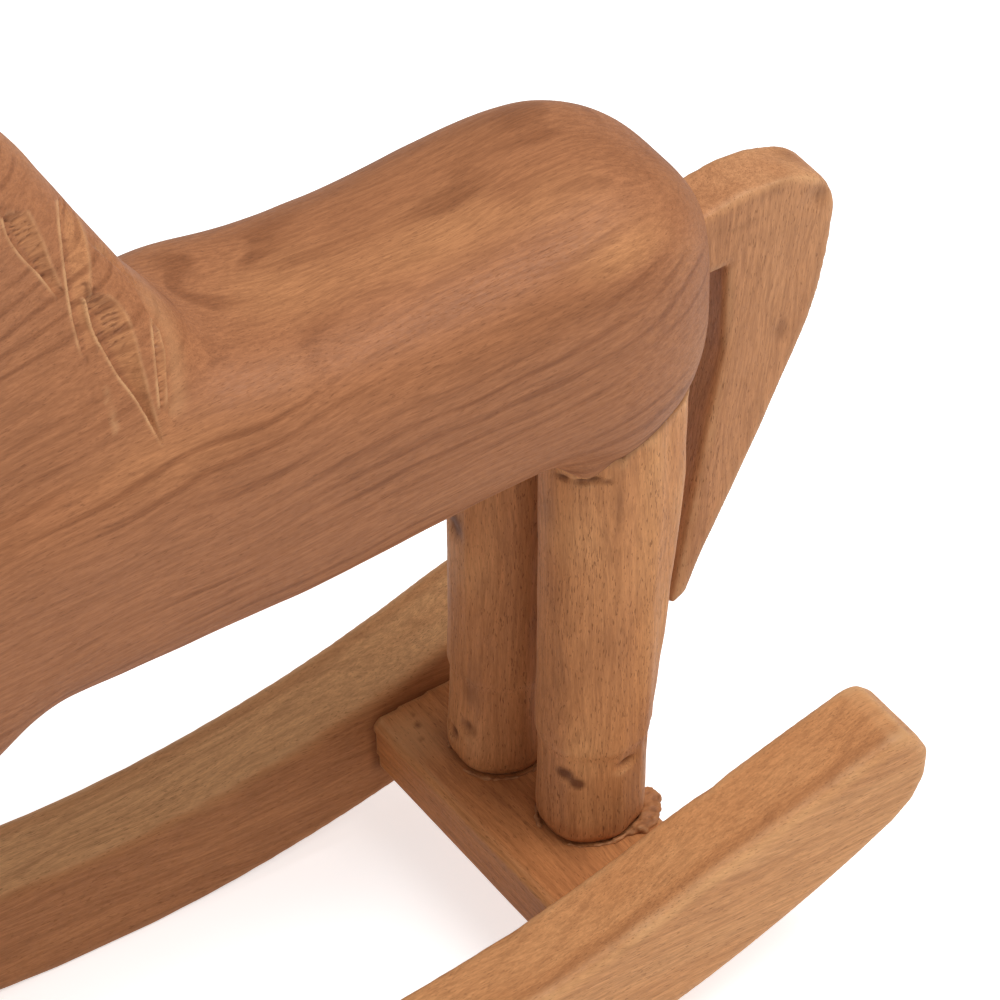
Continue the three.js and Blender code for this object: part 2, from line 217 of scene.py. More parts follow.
def relax(piece, rounds, where=None):
    """Smooths facets away without shrinking the piece, by steps in and out."""
    points = points_of(piece)
    edges = edges_of(piece)
    share = 1.0 if where is None else where[:, None]
    for _ in range(rounds):
        for step in (0.5, -0.52):
            points += step * share * (neighbour_mean(points, edges) - points)
    set_points(piece, points)


def melt(piece, rounds, where):
    """Rounds a place off, as a carver does with sandpaper."""
    points = points_of(piece)
    edges = edges_of(piece)
    for _ in range(rounds):
        points += 0.5 * where[:, None] * (neighbour_mean(points, edges) - points)
    set_points(piece, points)


def fill_hollow(piece, rounds, where):
    """Fills a hollow place up to a soft fillet, and leaves what stands out as it is."""
    points = points_of(piece)
    edges = edges_of(piece)
    for number in range(rounds):
        if number % 10 == 0:
            set_points(piece, points)
            normals = normals_of(piece)
        step = 0.5 * (neighbour_mean(points, edges) - points)
        outward = np.maximum(np.sum(step * normals, axis=1), 0)
        points += (where * outward)[:, None] * normals
    set_points(piece, points)


def remesh(piece, voxel):
    """Joins the closed shells of a piece into one even mesh."""
    modifier = piece.modifiers.new("mesh", "REMESH")
    modifier.mode = "VOXEL"
    modifier.voxel_size = voxel * MM
    modifier.use_smooth_shade = True
    finished = piece.evaluated_get(bpy.context.evaluated_depsgraph_get())
    mesh = bpy.data.meshes.new_from_object(finished)
    piece.modifiers.clear()
    old = piece.data
    piece.data = mesh
    bpy.data.meshes.remove(old)


def refine(piece, where):
    """Splits the faces of a place in four."""
    working = bmesh.new()
    working.from_mesh(piece.data)
    working.verts.ensure_lookup_table()
    inside = [edge for edge in working.edges if all(where[v.index] for v in edge.verts)]
    bmesh.ops.subdivide_edges(working, edges=inside, cuts=1, use_grid_fill=True)
    working.to_mesh(piece.data)
    working.free()
    for polygon in piece.data.polygons:
        polygon.use_smooth = True


def fine_copy(node, name, voxel, rounds):
    """A finely meshed copy of a frame node, with its facets smoothed away."""
    piece = bpy.data.objects.new(name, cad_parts[node].data.copy())
    bpy.context.scene.collection.objects.link(piece)
    piece.data.materials.clear()
    remesh(piece, voxel)
    relax(piece, rounds)
    return piece


def set_mask(piece, name, values):
    """Keeps one value a vertex on the piece, for its material to read."""
    attribute = piece.data.attributes.new(name, "FLOAT", "POINT")
    attribute.data.foreach_set("value", np.asarray(values, np.float32))


def curvature(piece, rounds):
    """How far each vertex stands out of its surroundings, in millimetres."""
    points = points_of(piece)
    edges = edges_of(piece)
    level = points
    for _ in range(rounds):
        level = neighbour_mean(level, edges)
    return np.sum((points - level) * normals_of(piece), axis=1)


def spots(points, places):
    """Adds up soft spots, each given as a centre, its reach along X, Y and Z and a strength."""
    total = np.zeros(len(points))
    for centre, reach, strength in places:
        away = np.linalg.norm((points - np.array(centre)) / np.array(reach), axis=1)
        total += strength * bell(away, 1.0)
    return total


def nearness(piece, others, reach):
    """1 where a piece touches one of the others, 0 from the reach outward."""
    points = points_of(piece) * MM
    near = np.zeros(len(points))
    for other in others:
        low, high = (np.array(corner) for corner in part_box(other))
        margin = reach * MM
        inside = np.all((points > low - margin) & (points < high + margin), axis=1)
        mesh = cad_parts[other].data
        tree = BVHTree.FromPolygons(
            [v.co for v in mesh.vertices], [p.vertices for p in mesh.polygons]
        )
        for number in np.flatnonzero(inside):
            found = tree.find_nearest(Vector(points[number]), margin)
            if found[0] is not None:
                near[number] = max(near[number], 1 - found[3] / margin)
    return near


def path_measure(points, path):
    """For each point of the side view: how far along a path it lies, from 0 to 1, and how far
    to its side, with a sign."""
    path = np.asarray(path, float)
    steps = np.diff(path, axis=0)
    lengths = np.linalg.norm(steps, axis=1)
    starts = np.concatenate([[0], np.cumsum(lengths)])
    best = np.full(len(points), np.inf)
    along = np.zeros(len(points))
    aside = np.zeros(len(points))
    for start, step, length, before in zip(path[:-1], steps, lengths, starts[:-1]):
        away = points - start
        share = np.clip(away @ step / length**2, 0, 1)
        gap = away - share[:, None] * step
        distance = np.linalg.norm(gap, axis=1)
        side = np.sign(step[0] * away[:, 1] - step[1] * away[:, 0])
        closer = distance < best
        best = np.where(closer, distance, best)
        along = np.where(closer, (before + share * length) / starts[-1], along)
        aside = np.where(closer, side * distance, aside)
    return along, aside, starts[-1]


def finish_piece(piece, slot, material, *nodes):
    """Hands a finished piece to the frame."""
    piece.data.materials.clear()
    piece.data.materials.append(material)
    for polygon in piece.data.polygons:
        polygon.use_smooth = True
    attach(piece, "root")
    if nodes:
        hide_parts(*nodes)


# Body block


def block_section(upper, lower, half_width, power, sides, taper=0.0):
    """One closed section between an upper and a lower point of the side view."""
    upper, lower = np.array(upper), np.array(lower)
    centre, half = (upper + lower) / 2, (upper - lower) / 2
    angle = 2 * math.pi * (np.arange(sides) + 0.5) / sides
    across = np.sign(np.cos(angle)) * np.abs(np.cos(angle)) ** (2 / power)
    along = np.sign(np.sin(angle)) * np.abs(np.sin(angle)) ** (2 / power)
    y = half_width * across * (1 - taper * (1 + along) / 2)
    return np.column_stack([centre[0] + half[0] * along, y, centre[1] + half[1] * along])


def skin(rings, start):
    """Vertices and faces of a closed skin over rings, numbered from start."""
    sides = len(rings[0])
    vertices = np.vstack(rings)
    faces = []
    for ring in range(len(rings) - 1):
        for side in range(sides):
            here = start + ring * sides + side
            following = start + ring * sides + (side + 1) % sides
            faces.append((here, following, following + sides, here + sides))
    faces.append(tuple(range(start + sides - 1, start - 1, -1)))
    last = start + (len(rings) - 1) * sides
    faces.append(tuple(range(last, last + sides)))
    return vertices, faces


def belly_line(x):
    tuck_up = 0.07 * BODY_DEPTH * smooth_rise(x, WITHERS[0], WITHERS[0] + 0.28 * BODY_LENGTH)
    haunch = smooth_rise(x, RUMP_X - 0.22 * BODY_LENGTH, RUMP_X - 0.12 * BODY_LENGTH)
    chest = 1 - smooth_rise(x, CHEST_X + 0.13 * BODY_LENGTH, CHEST_X + 0.3 * BODY_LENGTH)
    return BELLY_HEIGHT + tuck_up - HAUNCH_DROP * haunch - CHEST_DROP * chest


def back_line(x):
    over_rump = smooth_rise(x, RUMP_X - 0.32 * BODY_LENGTH, RUMP_X - 0.08 * BODY_LENGTH)
    start, end = WITHERS[0] - 0.03 * BODY_LENGTH, WITHERS[0] + 0.09 * BODY_LENGTH
    over_withers = 1 - smooth_rise(x, start, end)
    return BACK_HEIGHT + RUMP_RISE * over_rump + WITHERS_RISE * over_withers


def body_fullness(x, power):
    rump = rounded_end((x - (RUMP_X - END_ROUND)) / END_ROUND, power)
    chest = rounded_end((CHEST_X + END_ROUND - x) / END_ROUND, power)
    return rump * chest


def body_rings():
    first, last = CHEST_X + 0.1, RUMP_X - 0.1
    rings = []
    for station in range(BODY_STATIONS + 1):
        x = (first + last) / 2 - (last - first) / 2 * math.cos(math.pi * station / BODY_STATIONS)
        back, belly = back_line(x), belly_line(x)
        middle = (back + belly) / 2 + 0.02 * BODY_DEPTH
        tall, wide = body_fullness(x, END_TALL_POWER), body_fullness(x, END_WIDE_POWER)
        upper = (x, middle + (back - middle) * tall)
        lower = (x, middle - (middle - belly) * tall)
        rings.append(block_section(upper, lower, BODY_WIDTH / 2 * wide, BODY_POWER, BODY_SIDES))
    return rings


def neck_point(forward, up):
    """A place of the side view, as shares of the neck's reach forward and rise."""
    return WITHERS + np.array([-NECK_REACH * forward, NECK_RISE * up])


NECK_CREST = [
    (0.06, -0.3), (0.035, 0.015), (0.175, 0.2), (0.31, 0.38), (0.46, 0.57), (0.67, 0.77), (0.9, 0.93)
]
NECK_THROAT = [
    (1.08, -0.5), (1.22, -0.28), (1.28, -0.05), (1.2, 0.12), (1.12, 0.26), (1.06, 0.4), (1.12, 0.62)
]


def neck_rings():
    crest = spline([neck_point(*place) for place in NECK_CREST], NECK_STATIONS + 1)
    throat = spline([neck_point(*place) for place in NECK_THROAT], NECK_STATIONS + 1)
    rings = []
    for station, (upper, lower) in enumerate(zip(crest, throat)):
        share = station / NECK_STATIONS
        settled = smooth_rise(share, 0.1, 0.5)
        width = NECK_BASE_WIDTH + (POLL_WIDTH - NECK_BASE_WIDTH) * share**0.75
        power = BODY_POWER + (NECK_POWER - BODY_POWER) * settled
        rings.append(
            block_section(upper, lower, width / 2, power, NECK_SIDES, NECK_TAPER * settled)
        )
    return rings


HEAD_ALONG = np.array([-HEAD_REACH, -HEAD_DROP])
HEAD_UNDER = np.array([HEAD_DROP, -HEAD_REACH]) / math.hypot(HEAD_DROP, HEAD_REACH)


def head_place(share, below):
    """A place of the head, by its share of the way to the muzzle and its distance below."""
    return POLL + HEAD_ALONG * share + HEAD_UNDER * below


def head_rings():
    rings = []
    for station in range(HEAD_STATIONS + 1):
        share = 0.5 - 0.49 * math.cos(math.pi * station / HEAD_STATIONS)
        skull = rounded_end(1 - share / 0.35, 2)
        lips = rounded_end((share - 0.84) / 0.16, 2.4)
        taper = smooth_rise(share, 0.3, 0.78)
        depth = HEAD_DEPTH + (MUZZLE_DEPTH - HEAD_DEPTH) * taper
        width = CHEEK_WIDTH + (MUZZLE_WIDTH - CHEEK_WIDTH) * taper
        brow = 0.08 * HEAD_DEPTH * math.sin(math.pi * min(share * 1.6, 1))
        middle = depth / 2 - brow
        upper = head_place(share, middle - depth / 2 * min(skull * 1.6, 1) * lips)
        lower = head_place(share, middle + depth / 2 * skull * lips)
        half = width / 2 * skull * lips
        rings.append(block_section(upper, lower, half, HEAD_POWER, NECK_SIDES, HEAD_TAPER))
    return rings


def ear_rings(side):
    base = np.array([POLL[0] + 0.1 * EAR_LENGTH, POLL[1] - 0.35 * EAR_LENGTH])
    tip = np.array([POLL[0] - 0.15 * EAR_LENGTH, POLL[1] + EAR_LENGTH])
    angle = 2 * math.pi * np.arange(EAR_SIDES) / EAR_SIDES
    rings = []
    for share in np.linspace(0, 1, EAR_STATIONS + 1):
        middle = base + (tip - base) * share
        swell = math.sqrt(1 - (0.98 * share) ** 2) * (0.75 + 0.25 * math.sin(math.pi * share))
        half = EAR_WIDTH / 2 * swell
        x = middle[0] + half * np.cos(angle)
        y = side * (0.24 * POLL_WIDTH + 0.14 * EAR_LENGTH * share) + 0.62 * half * np.sin(angle)
        rings.append(np.column_stack([x, y, np.full(EAR_SIDES, middle[1])]))
    return rings


# Carving of the mane. It is laid out as it shows from behind the horse's left shoulder, in
# millimetres from the withers, to the right and up. The right side is its mirror image.

MANE_TURN = math.radians(-33.7)
MANE_LIFT = math.radians(41.3)
MANE_TARGET = np.array([86.0, 0.0, 129.3])
MANE_DISTANCE = 1591.0

# Each scoop of the gouge: its front and rear edge, its depth, and its chatter: the stretch of it
# that is rough, how far across it the roughness reaches, and how strong it is
SCOOPS = [
    ([(-41.6, 23), (-40, 18.2), (-37, 13.9), (-33, 9.8), (-28.9, 4.5)],
     [(-38.2, 27.5), (-35, 23), (-32.3, 17.3), (-30.5, 12.3), (-28.4, 7.7)],
     1.7, (0.0, 0.8), 0.95, 1.0),
    ([(-28.9, 27.3), (-28.2, 19.3), (-27, 9.3), (-25.9, 1.8), (-24.5, -4.5), (-23.2, -9.1)],
     [(-26.1, 26.8), (-23.4, 20.9), (-21.8, 13.6), (-21.4, 5), (-20.2, -2.3), (-19.8, -7.7)],
     1.3, (0.15, 1.0), 0.42, 0.75),
    ([(-22.7, 5), (-20.9, -2.5), (-18.2, -7.7), (-15, -13.2), (-10.9, -18.6), (-4.8, -29.3)],
     [(-19.3, 6.4), (-15.9, 4.1), (-13.2, 0.5), (-11.1, -5.5), (-9.5, -12), (-5, -28.4)],
     2.0, (0.0, 0.34), 0.9, 1.0),
    ([(-7.5, 0.5), (-6.8, -7.3), (-6.1, -14.5), (-5.5, -21.6)],
     [(-6.8, 0.5), (-4.8, -6.4), (-4.1, -12), (-4.3, -19.1), (-5, -21.8)],
     0.9, (0.1, 0.9), 0.6, 0.9),
    ([(-53.8, 42), (-51.6, 32), (-48, 22), (-43.5, 15)],
     [(-48.8, 41), (-45.4, 32), (-42.6, 24), (-42, 17)],
     1.6, (0.1, 0.6), 0.8, 0.7),
    ([(-65.8, 51), (-61.8, 38), (-57, 28), (-51.5, 18)],
     [(-60.6, 50), (-55.6, 38), (-51.4, 30), (-49.8, 20)],
     1.7, (0.0, 0.5), 0.9, 0.6),
    ([(-76.8, 54), (-73.2, 42), (-68.6, 33), (-62, 22)],
     [(-71.6, 53), (-67, 42), (-63, 34), (-60.6, 24)],
     1.6, (0.1, 0.6), 0.8, 0.5),
]
SCOOPS_IN_PHOTO = 4
LOCK_EDGE = [
    (-17.5, 13.6), (-13.9, 10.5), (-10.9, 6.6), (-8.2, 1.4), (-5.7, -2.5), (-4.3, -7.3), (-3.6, -18.6)
]
LOCK_HEIGHT = 0.9
SLIP_MARK = [(-18.2, -15.9), (-17.3, -20.5), (-15.5, -25.5)]
CHATTER_STEP = 1.75
CHATTER_SLANT = 0.25
CHATTER_DEPTH = 0.25
RIDGE_HEIGHT = 0.5
SCOOP_FLOOR = 0.2
SCOOP_WIDEST = 12.0
DEEPEST_SCOOP = 2.0
MANE_FOOT = 190.0


def mane_places(points, side):
    """Where points show from behind the shoulder, and the direction back to the viewer."""
    turn_x, turn_y = math.cos(MANE_TURN), -side * math.sin(MANE_TURN)
    level, height = math.cos(MANE_LIFT), math.sin(MANE_LIFT)
    right = np.array([turn_x, turn_y, 0])
    up = np.array([abs(turn_y) * height, -side * turn_x * height, level])
    back = np.array([-abs(turn_y) * level, side * turn_x * level, height])

    def seen(places):
        away = places - MANE_TARGET
        scale = MANE_DISTANCE / (MANE_DISTANCE - away @ back)
        return np.column_stack([away @ right, away @ up]) * scale[:, None]

    return seen(points) - seen(np.array([[WITHERS[0], 0, WITHERS[1]]])), back


def scoop_measure(places, front, rear):
    """How far along a scoop each place lies, how far behind its front edge, before its rear
    edge, and the length."""
    along, behind, length = path_measure(places, spline(front, 24))
    _, ahead, _ = path_measure(places, spline(rear, 24))
    return along, behind, -ahead, length


def within_scoop(behind, before):
    return (behind > 0) & (before > 0) & (behind + before < SCOOP_WIDEST)


def mane_zone(piece, margin, scoops):
    """The vertices within a margin of the scoops and the lock's edge."""
    points = points_of(piece)
    normals = normals_of(piece)
    zone = np.zeros(len(points), bool)
    for side in SIDES:
        places, back = mane_places(points, side)
        facing = (normals @ back > -0.1) & (side * points[:, 1] > -3) & (points[:, 2] > MANE_FOOT)
        for front, rear, *_ in scoops:
            along, behind, before, _ = scoop_measure(places, front, rear)
            near = np.minimum(np.abs(behind), np.abs(before)) < margin
            near |= within_scoop(behind, before) & (along > 0) & (along < 1)
            zone |= near & facing
        _, aside, _ = path_measure(places, LOCK_EDGE)
        zone |= (np.abs(aside) < margin) & facing
    return zone


def scoop_forms(points, places, number):
    """What one scoop leaves at each place, each from 0 to 1: its bed, its chatter, the painted shade
    on its front wall, its fresh wood and its raised edges."""
    front, rear, _, (start, end), reach, chatter = SCOOPS[number]
    along, behind, before, length = scoop_measure(places, front, rear)
    inside = within_scoop(behind, before)
    across = behind / np.maximum(behind + before, 0.2)
    wall = np.where(across < SCOOP_FLOOR, 1 - across / SCOOP_FLOOR,
                    (across - SCOOP_FLOOR) / (1 - SCOOP_FLOOR))
    ends = np.clip(along / 0.07, 0, 1) ** 0.5 * np.clip((1 - along) / 0.4, 0, 1) ** 0.6
    bed = inside * (1 - np.clip(wall, 0, 1) ** 1.6) * ends
    wobble = hashed_noise(points * 0.5, 3 + number)
    phase = (along * length + CHATTER_SLANT * behind) / CHATTER_STEP + 0.45 * wobble
    tick = smooth_rise(np.sin(2 * math.pi * phase), 0.3, 0.95)
    place = smooth_rise(along, start - 0.04, start) * smooth_rise(-along, -end - 0.1, -end)
    place = place * smooth_rise(reach + 0.12 * wobble - across, 0, 0.12)
    broken = smooth_rise(hashed_noise(points * 0.9, 13 + number), -0.45, 0.2)
    ticks = chatter * tick * place * broken * inside
    front_wall_shade = inside * bell(across - 0.5 * SCOOP_FLOOR, 0.8 * SCOOP_FLOOR) * ends
    clean = inside * smooth_rise(across, 0.25, 0.5) * ends
    lip = np.maximum(bell(behind + 0.2, 0.75), 0.45 * bell(before + 0.1, 0.7))
    lip = lip * ((along > 0.01) & (along < 0.995))
    lip = lip * (0.5 + 0.5 * smooth_rise(hashed_noise(points * 0.4, 23 + number), -0.5, 0.3))
    return bed, ticks, front_wall_shade, clean, lip * np.clip(ends * 1.6, 0, 1)


def carve_mane(piece, depth):
    """Cuts the locks of the mane on both sides, and gives the masks of painted shade in the chatter
    and on the scoops' front walls, of ridges and of fresh wood."""
    points = points_of(piece)
    normals = normals_of(piece)
    cut, shade, pale, fresh = np.zeros((4, len(points)))
    for side in SIDES:
        places, back = mane_places(points, side)
        own = smooth_rise(normals @ back, 0.0, 0.3) * smooth_rise(side * points[:, 1], -0.5, 3)
        own = own * (points[:, 2] > MANE_FOOT)
        _, aside, _ = path_measure(places, LOCK_EDGE)
        _, mark, _ = path_measure(places, SLIP_MARK)
        beyond = smooth_rise(aside, -0.35, 0.35) * smooth_rise(-aside, -8, -0.5)
        step = LOCK_HEIGHT * beyond * own
        ridge, bed_cut = np.zeros((2, len(points)))
        for number, scoop in enumerate(SCOOPS):
            bed, ticks, front_wall_shade, clean, lip = scoop_forms(points, places, number)
            deep = scoop[2] / DEEPEST_SCOOP * depth
            bed_cut = np.maximum(bed_cut, deep * bed + CHATTER_DEPTH * ticks)
            # Painted shade in the chatter grooves and on the scoop's front wall
            shade = np.maximum(shade, own * np.maximum(0.75 * ticks, 0.5 * front_wall_shade))
            fresh = np.maximum(fresh, own * clean)
            ridge = np.maximum(ridge, lip)
        cut = np.maximum(cut, own * np.maximum(step, bed_cut) - own * RIDGE_HEIGHT * ridge)
        pale = np.maximum(pale, own * np.maximum(ridge, 0.6 * bell(mark, 0.8)))
        pale = np.maximum(pale, own * 0.35 * bell(aside - 2.5, 3.0))
    set_points(piece, points - normals * cut[:, None])
    return shade, pale, fresh


# Carving of the face

EYE_SHARE, EYE_BELOW, EYE_REACH = 0.34, 8.0, 5.2
NOSTRIL_SHARE, NOSTRIL_BELOW = 0.87, 6.0
MOUTH = [(0.99, 19.0), (0.9, 21.0), (0.8, 21.5), (0.735, 20.0)]


def face_measure(flat):
    """How far places of the side view lie from the eye, the nostril and the mouth's line, and
    how far along that line."""
    eye = np.linalg.norm(flat - head_place(EYE_SHARE, EYE_BELOW), axis=1)
    nostril_away = flat - head_place(NOSTRIL_SHARE, NOSTRIL_BELOW)
    lip_line = spline([head_place(*place) for place in MOUTH], 24)
    along, aside, _ = path_measure(flat, lip_line)
    return eye, nostril_away, aside, along


def face_zone(piece):
    """The vertices close to the eyes, the nostrils and the mouth."""
    points = points_of(piece)
    eye, nostril_away, aside, _ = face_measure(points[:, [0, 2]])
    nostril = np.linalg.norm(nostril_away, axis=1)
    near = (eye < EYE_REACH + 3) | (nostril < 6) | (np.abs(aside) < 3)
    return near & (points[:, 0] < POLL[0] + 6)


def carve_face(piece):
    """Round eyes in shallow rings, small nostrils and a plain mouth line, with painted shade in them.
    """
    points = points_of(piece)
    normals = normals_of(piece)
    sideways = smooth_rise(np.abs(normals[:, 1]), 0.1, 0.4)
    head = points[:, 0] < POLL[0] + 6
    eye, nostril_away, aside, along = face_measure(points[:, [0, 2]])
    ring = bell(eye - EYE_REACH, 1.5) * 1.3 - bell(eye, EYE_REACH - 0.8) * 0.5
    nostril = np.linalg.norm(nostril_away / [1.2, 1.0], axis=1)
    hole = bell(nostril, 3.0) * 1.8
    groove = bell(aside, 1.5) * 1.5 * smooth_rise(1 - along, 0, 0.2)
    cut = (ring + hole) * sideways * head
    cut = np.where(head, np.maximum(cut, groove), cut)
    set_points(piece, points - normals * cut[:, None])
    # Painted shade in the eye rings, the nostrils and the mouth groove
    dark = np.clip(bell(eye - EYE_REACH, 1.3) + bell(nostril, 2.6) + bell(aside, 1.2), 0, 1)
    return dark * head * np.maximum(sideways, bell(aside, 1.2))


# Settings


class HorseCarving(bpy.types.PropertyGroup):
    block_mesh: FloatProperty(
        name="Block mesh", description="Mesh size on the carved block", default=1.45, min=1.0
    )
    small_mesh: FloatProperty(
        name="Small mesh", description="Mesh size on legs, tail and boards", default=0.8, min=0.5
    )
    rocker_mesh: FloatProperty(
        name="Rocker mesh", description="Mesh size on the rockers", default=1.0, min=0.8
    )
    gouge_depth: FloatProperty(
        name="Gouge depth", description="Depth of the mane's deepest cuts, in mm", default=2.0
    )
    tool_marks: FloatProperty(
        name="Tool marks", description="Unevenness left by the knife, in mm", default=0.35
    )


def wood_colour(name, description, value):
    return FloatVectorProperty(
        name=name, description=description, subtype="COLOR", size=3, min=0, max=1, default=value
    )


class HorseWood(bpy.types.PropertyGroup):
    block_pale: wood_colour("Block, pale", "Light bands of the carved block", (0.448, 0.194, 0.0781))
    block_mid: wood_colour("Block, middle", "Main colour of the carved block", (0.344, 0.135, 0.055))
    block_dark: wood_colour("Block, dark", "Dark bands of the carved block", (0.228, 0.0799, 0.0293))
    leg_pale: wood_colour("Leg, pale", "Light streaks of the legs", (0.612, 0.298, 0.121))
    leg_mid: wood_colour("Leg, middle", "Main colour of the legs", (0.5, 0.212, 0.0792))
    leg_dark: wood_colour("Leg, dark", "Dark streaks of the legs", (0.275, 0.0962, 0.0327))
    tail_pale: wood_colour("Tail, pale", "Light streaks of the tail", (0.563, 0.283, 0.13))
    tail_mid: wood_colour("Tail, middle", "Main colour of the tail", (0.474, 0.214, 0.0922))
    tail_dark: wood_colour("Tail, dark", "Dark streaks of the tail", (0.268, 0.101, 0.0396))
    board_pale: wood_colour("Board, pale", "Light streaks of the boards", (0.567, 0.251, 0.0873))
    board_mid: wood_colour("Board, middle", "Main colour of the boards", (0.443, 0.171, 0.0572))
    board_dark: wood_colour("Board, dark", "Dark streaks of the boards", (0.268, 0.0901, 0.0286))
    rocker_pale: wood_colour("Rocker, pale", "Light streaks of the rockers", (0.626, 0.327, 0.142))
    rocker_mid: wood_colour("Rocker, middle", "Main colour of the rockers", (0.513, 0.229, 0.0882))
    rocker_dark: wood_colour("Rocker, dark", "Dark streaks of the rockers", (0.302, 0.114, 0.0412))
    glue: wood_colour("Glue", "Dried glue and torn fibres", (0.4, 0.165, 0.062))


class HorseStage(bpy.types.PropertyGroup):
    floor_colour: wood_colour("Floor", "Colour of the floor", (0.95, 0.95, 0.95))
    floor_glow: FloatProperty(
        name="Floor glow", description="Light that the pale floor throws back", default=0.2
    )
    floor_lift: FloatProperty(
        name="Floor lift", description="How much whiter the floor shows", default=0.4
    )
    sky_strength: FloatProperty(
        name="Fill light", description="Strength of the even light from all round", default=0.38
    )
    key_power: FloatProperty(
        name="Key light", description="Power of the soft light above", default=13.0, unit="POWER"
    )
    side_power: FloatProperty(
        name="Side light", description="Power of the soft light beside the camera",
        default=0.6, unit="POWER",
    )
    lens: FloatProperty(
        name="Lens", description="Focal length of the camera, in mm", default=252.0
    )
    azimuth: FloatProperty(
        name="Azimuth", description="Direction of the camera round the horse",
        default=math.radians(-33.7), subtype="ANGLE",
    )
    elevation: FloatProperty(
        name="Elevation", description="Height of the camera as an angle",
        default=math.radians(41.3), subtype="ANGLE",
    )
    distance: FloatProperty(
        name="Distance", description="From the camera to its target", default=1.591, unit="LENGTH"
    )
    target: FloatVectorProperty(
        name="Target", description="The point in the middle of the picture",
        default=(0.086, 0.0, 0.1293), subtype="TRANSLATION", size=3,
    )


# Finishes


class NodeDesk:
    """Places nodes in a tree and joins them with short calls."""

    def __init__(self, tree):
        self.tree = tree

    def add(self, kind, **settings):
        node = self.tree.nodes.new(kind)
        for name, value in settings.items():
            setattr(node, name, value)
        return node

    def feed(self, socket, value):
        if isinstance(value, bpy.types.NodeSocket):
            self.tree.links.new(value, socket)
        else:
            socket.default_value = value

    def math(self, operation, *values):
        node = self.add("ShaderNodeMath", operation=operation)
        for socket, value in zip(node.inputs, values):
            self.feed(socket, value)
        return node.outputs[0]

    def stretch(self, vector, scale, shift=(0, 0, 0)):
        node = self.add("ShaderNodeVectorMath", operation="MULTIPLY_ADD")
        self.feed(node.inputs[0], vector)
        node.inputs[1].default_value = scale
        node.inputs[2].default_value = shift
        return node.outputs[0]

    def noise(self, vector, detail=2.0, roughness=0.5, distortion=0.0):
        node = self.add("ShaderNodeTexNoise")
        self.feed(node.inputs["Vector"], vector)
        self.feed(node.inputs["Scale"], 1.0)
        self.feed(node.inputs["Detail"], detail)
        self.feed(node.inputs["Roughness"], roughness)
        self.feed(node.inputs["Distortion"], distortion)
        return node

    def rise(self, value, start, end, low=0.0, high=1.0):
        node = self.add("ShaderNodeMapRange", interpolation_type="SMOOTHSTEP")
        for socket, entry in zip(node.inputs, (value, start, end, low, high)):
            self.feed(socket, entry)
        return node.outputs[0]

    def blend(self, share, first, second, mode="MIX"):
        node = self.add("ShaderNodeMix", data_type="RGBA", blend_type=mode, clamp_factor=True)
        self.feed(node.inputs[0], share)
        self.feed(node.inputs[6], first)
        self.feed(node.inputs[7], second)
        return node.outputs[2]


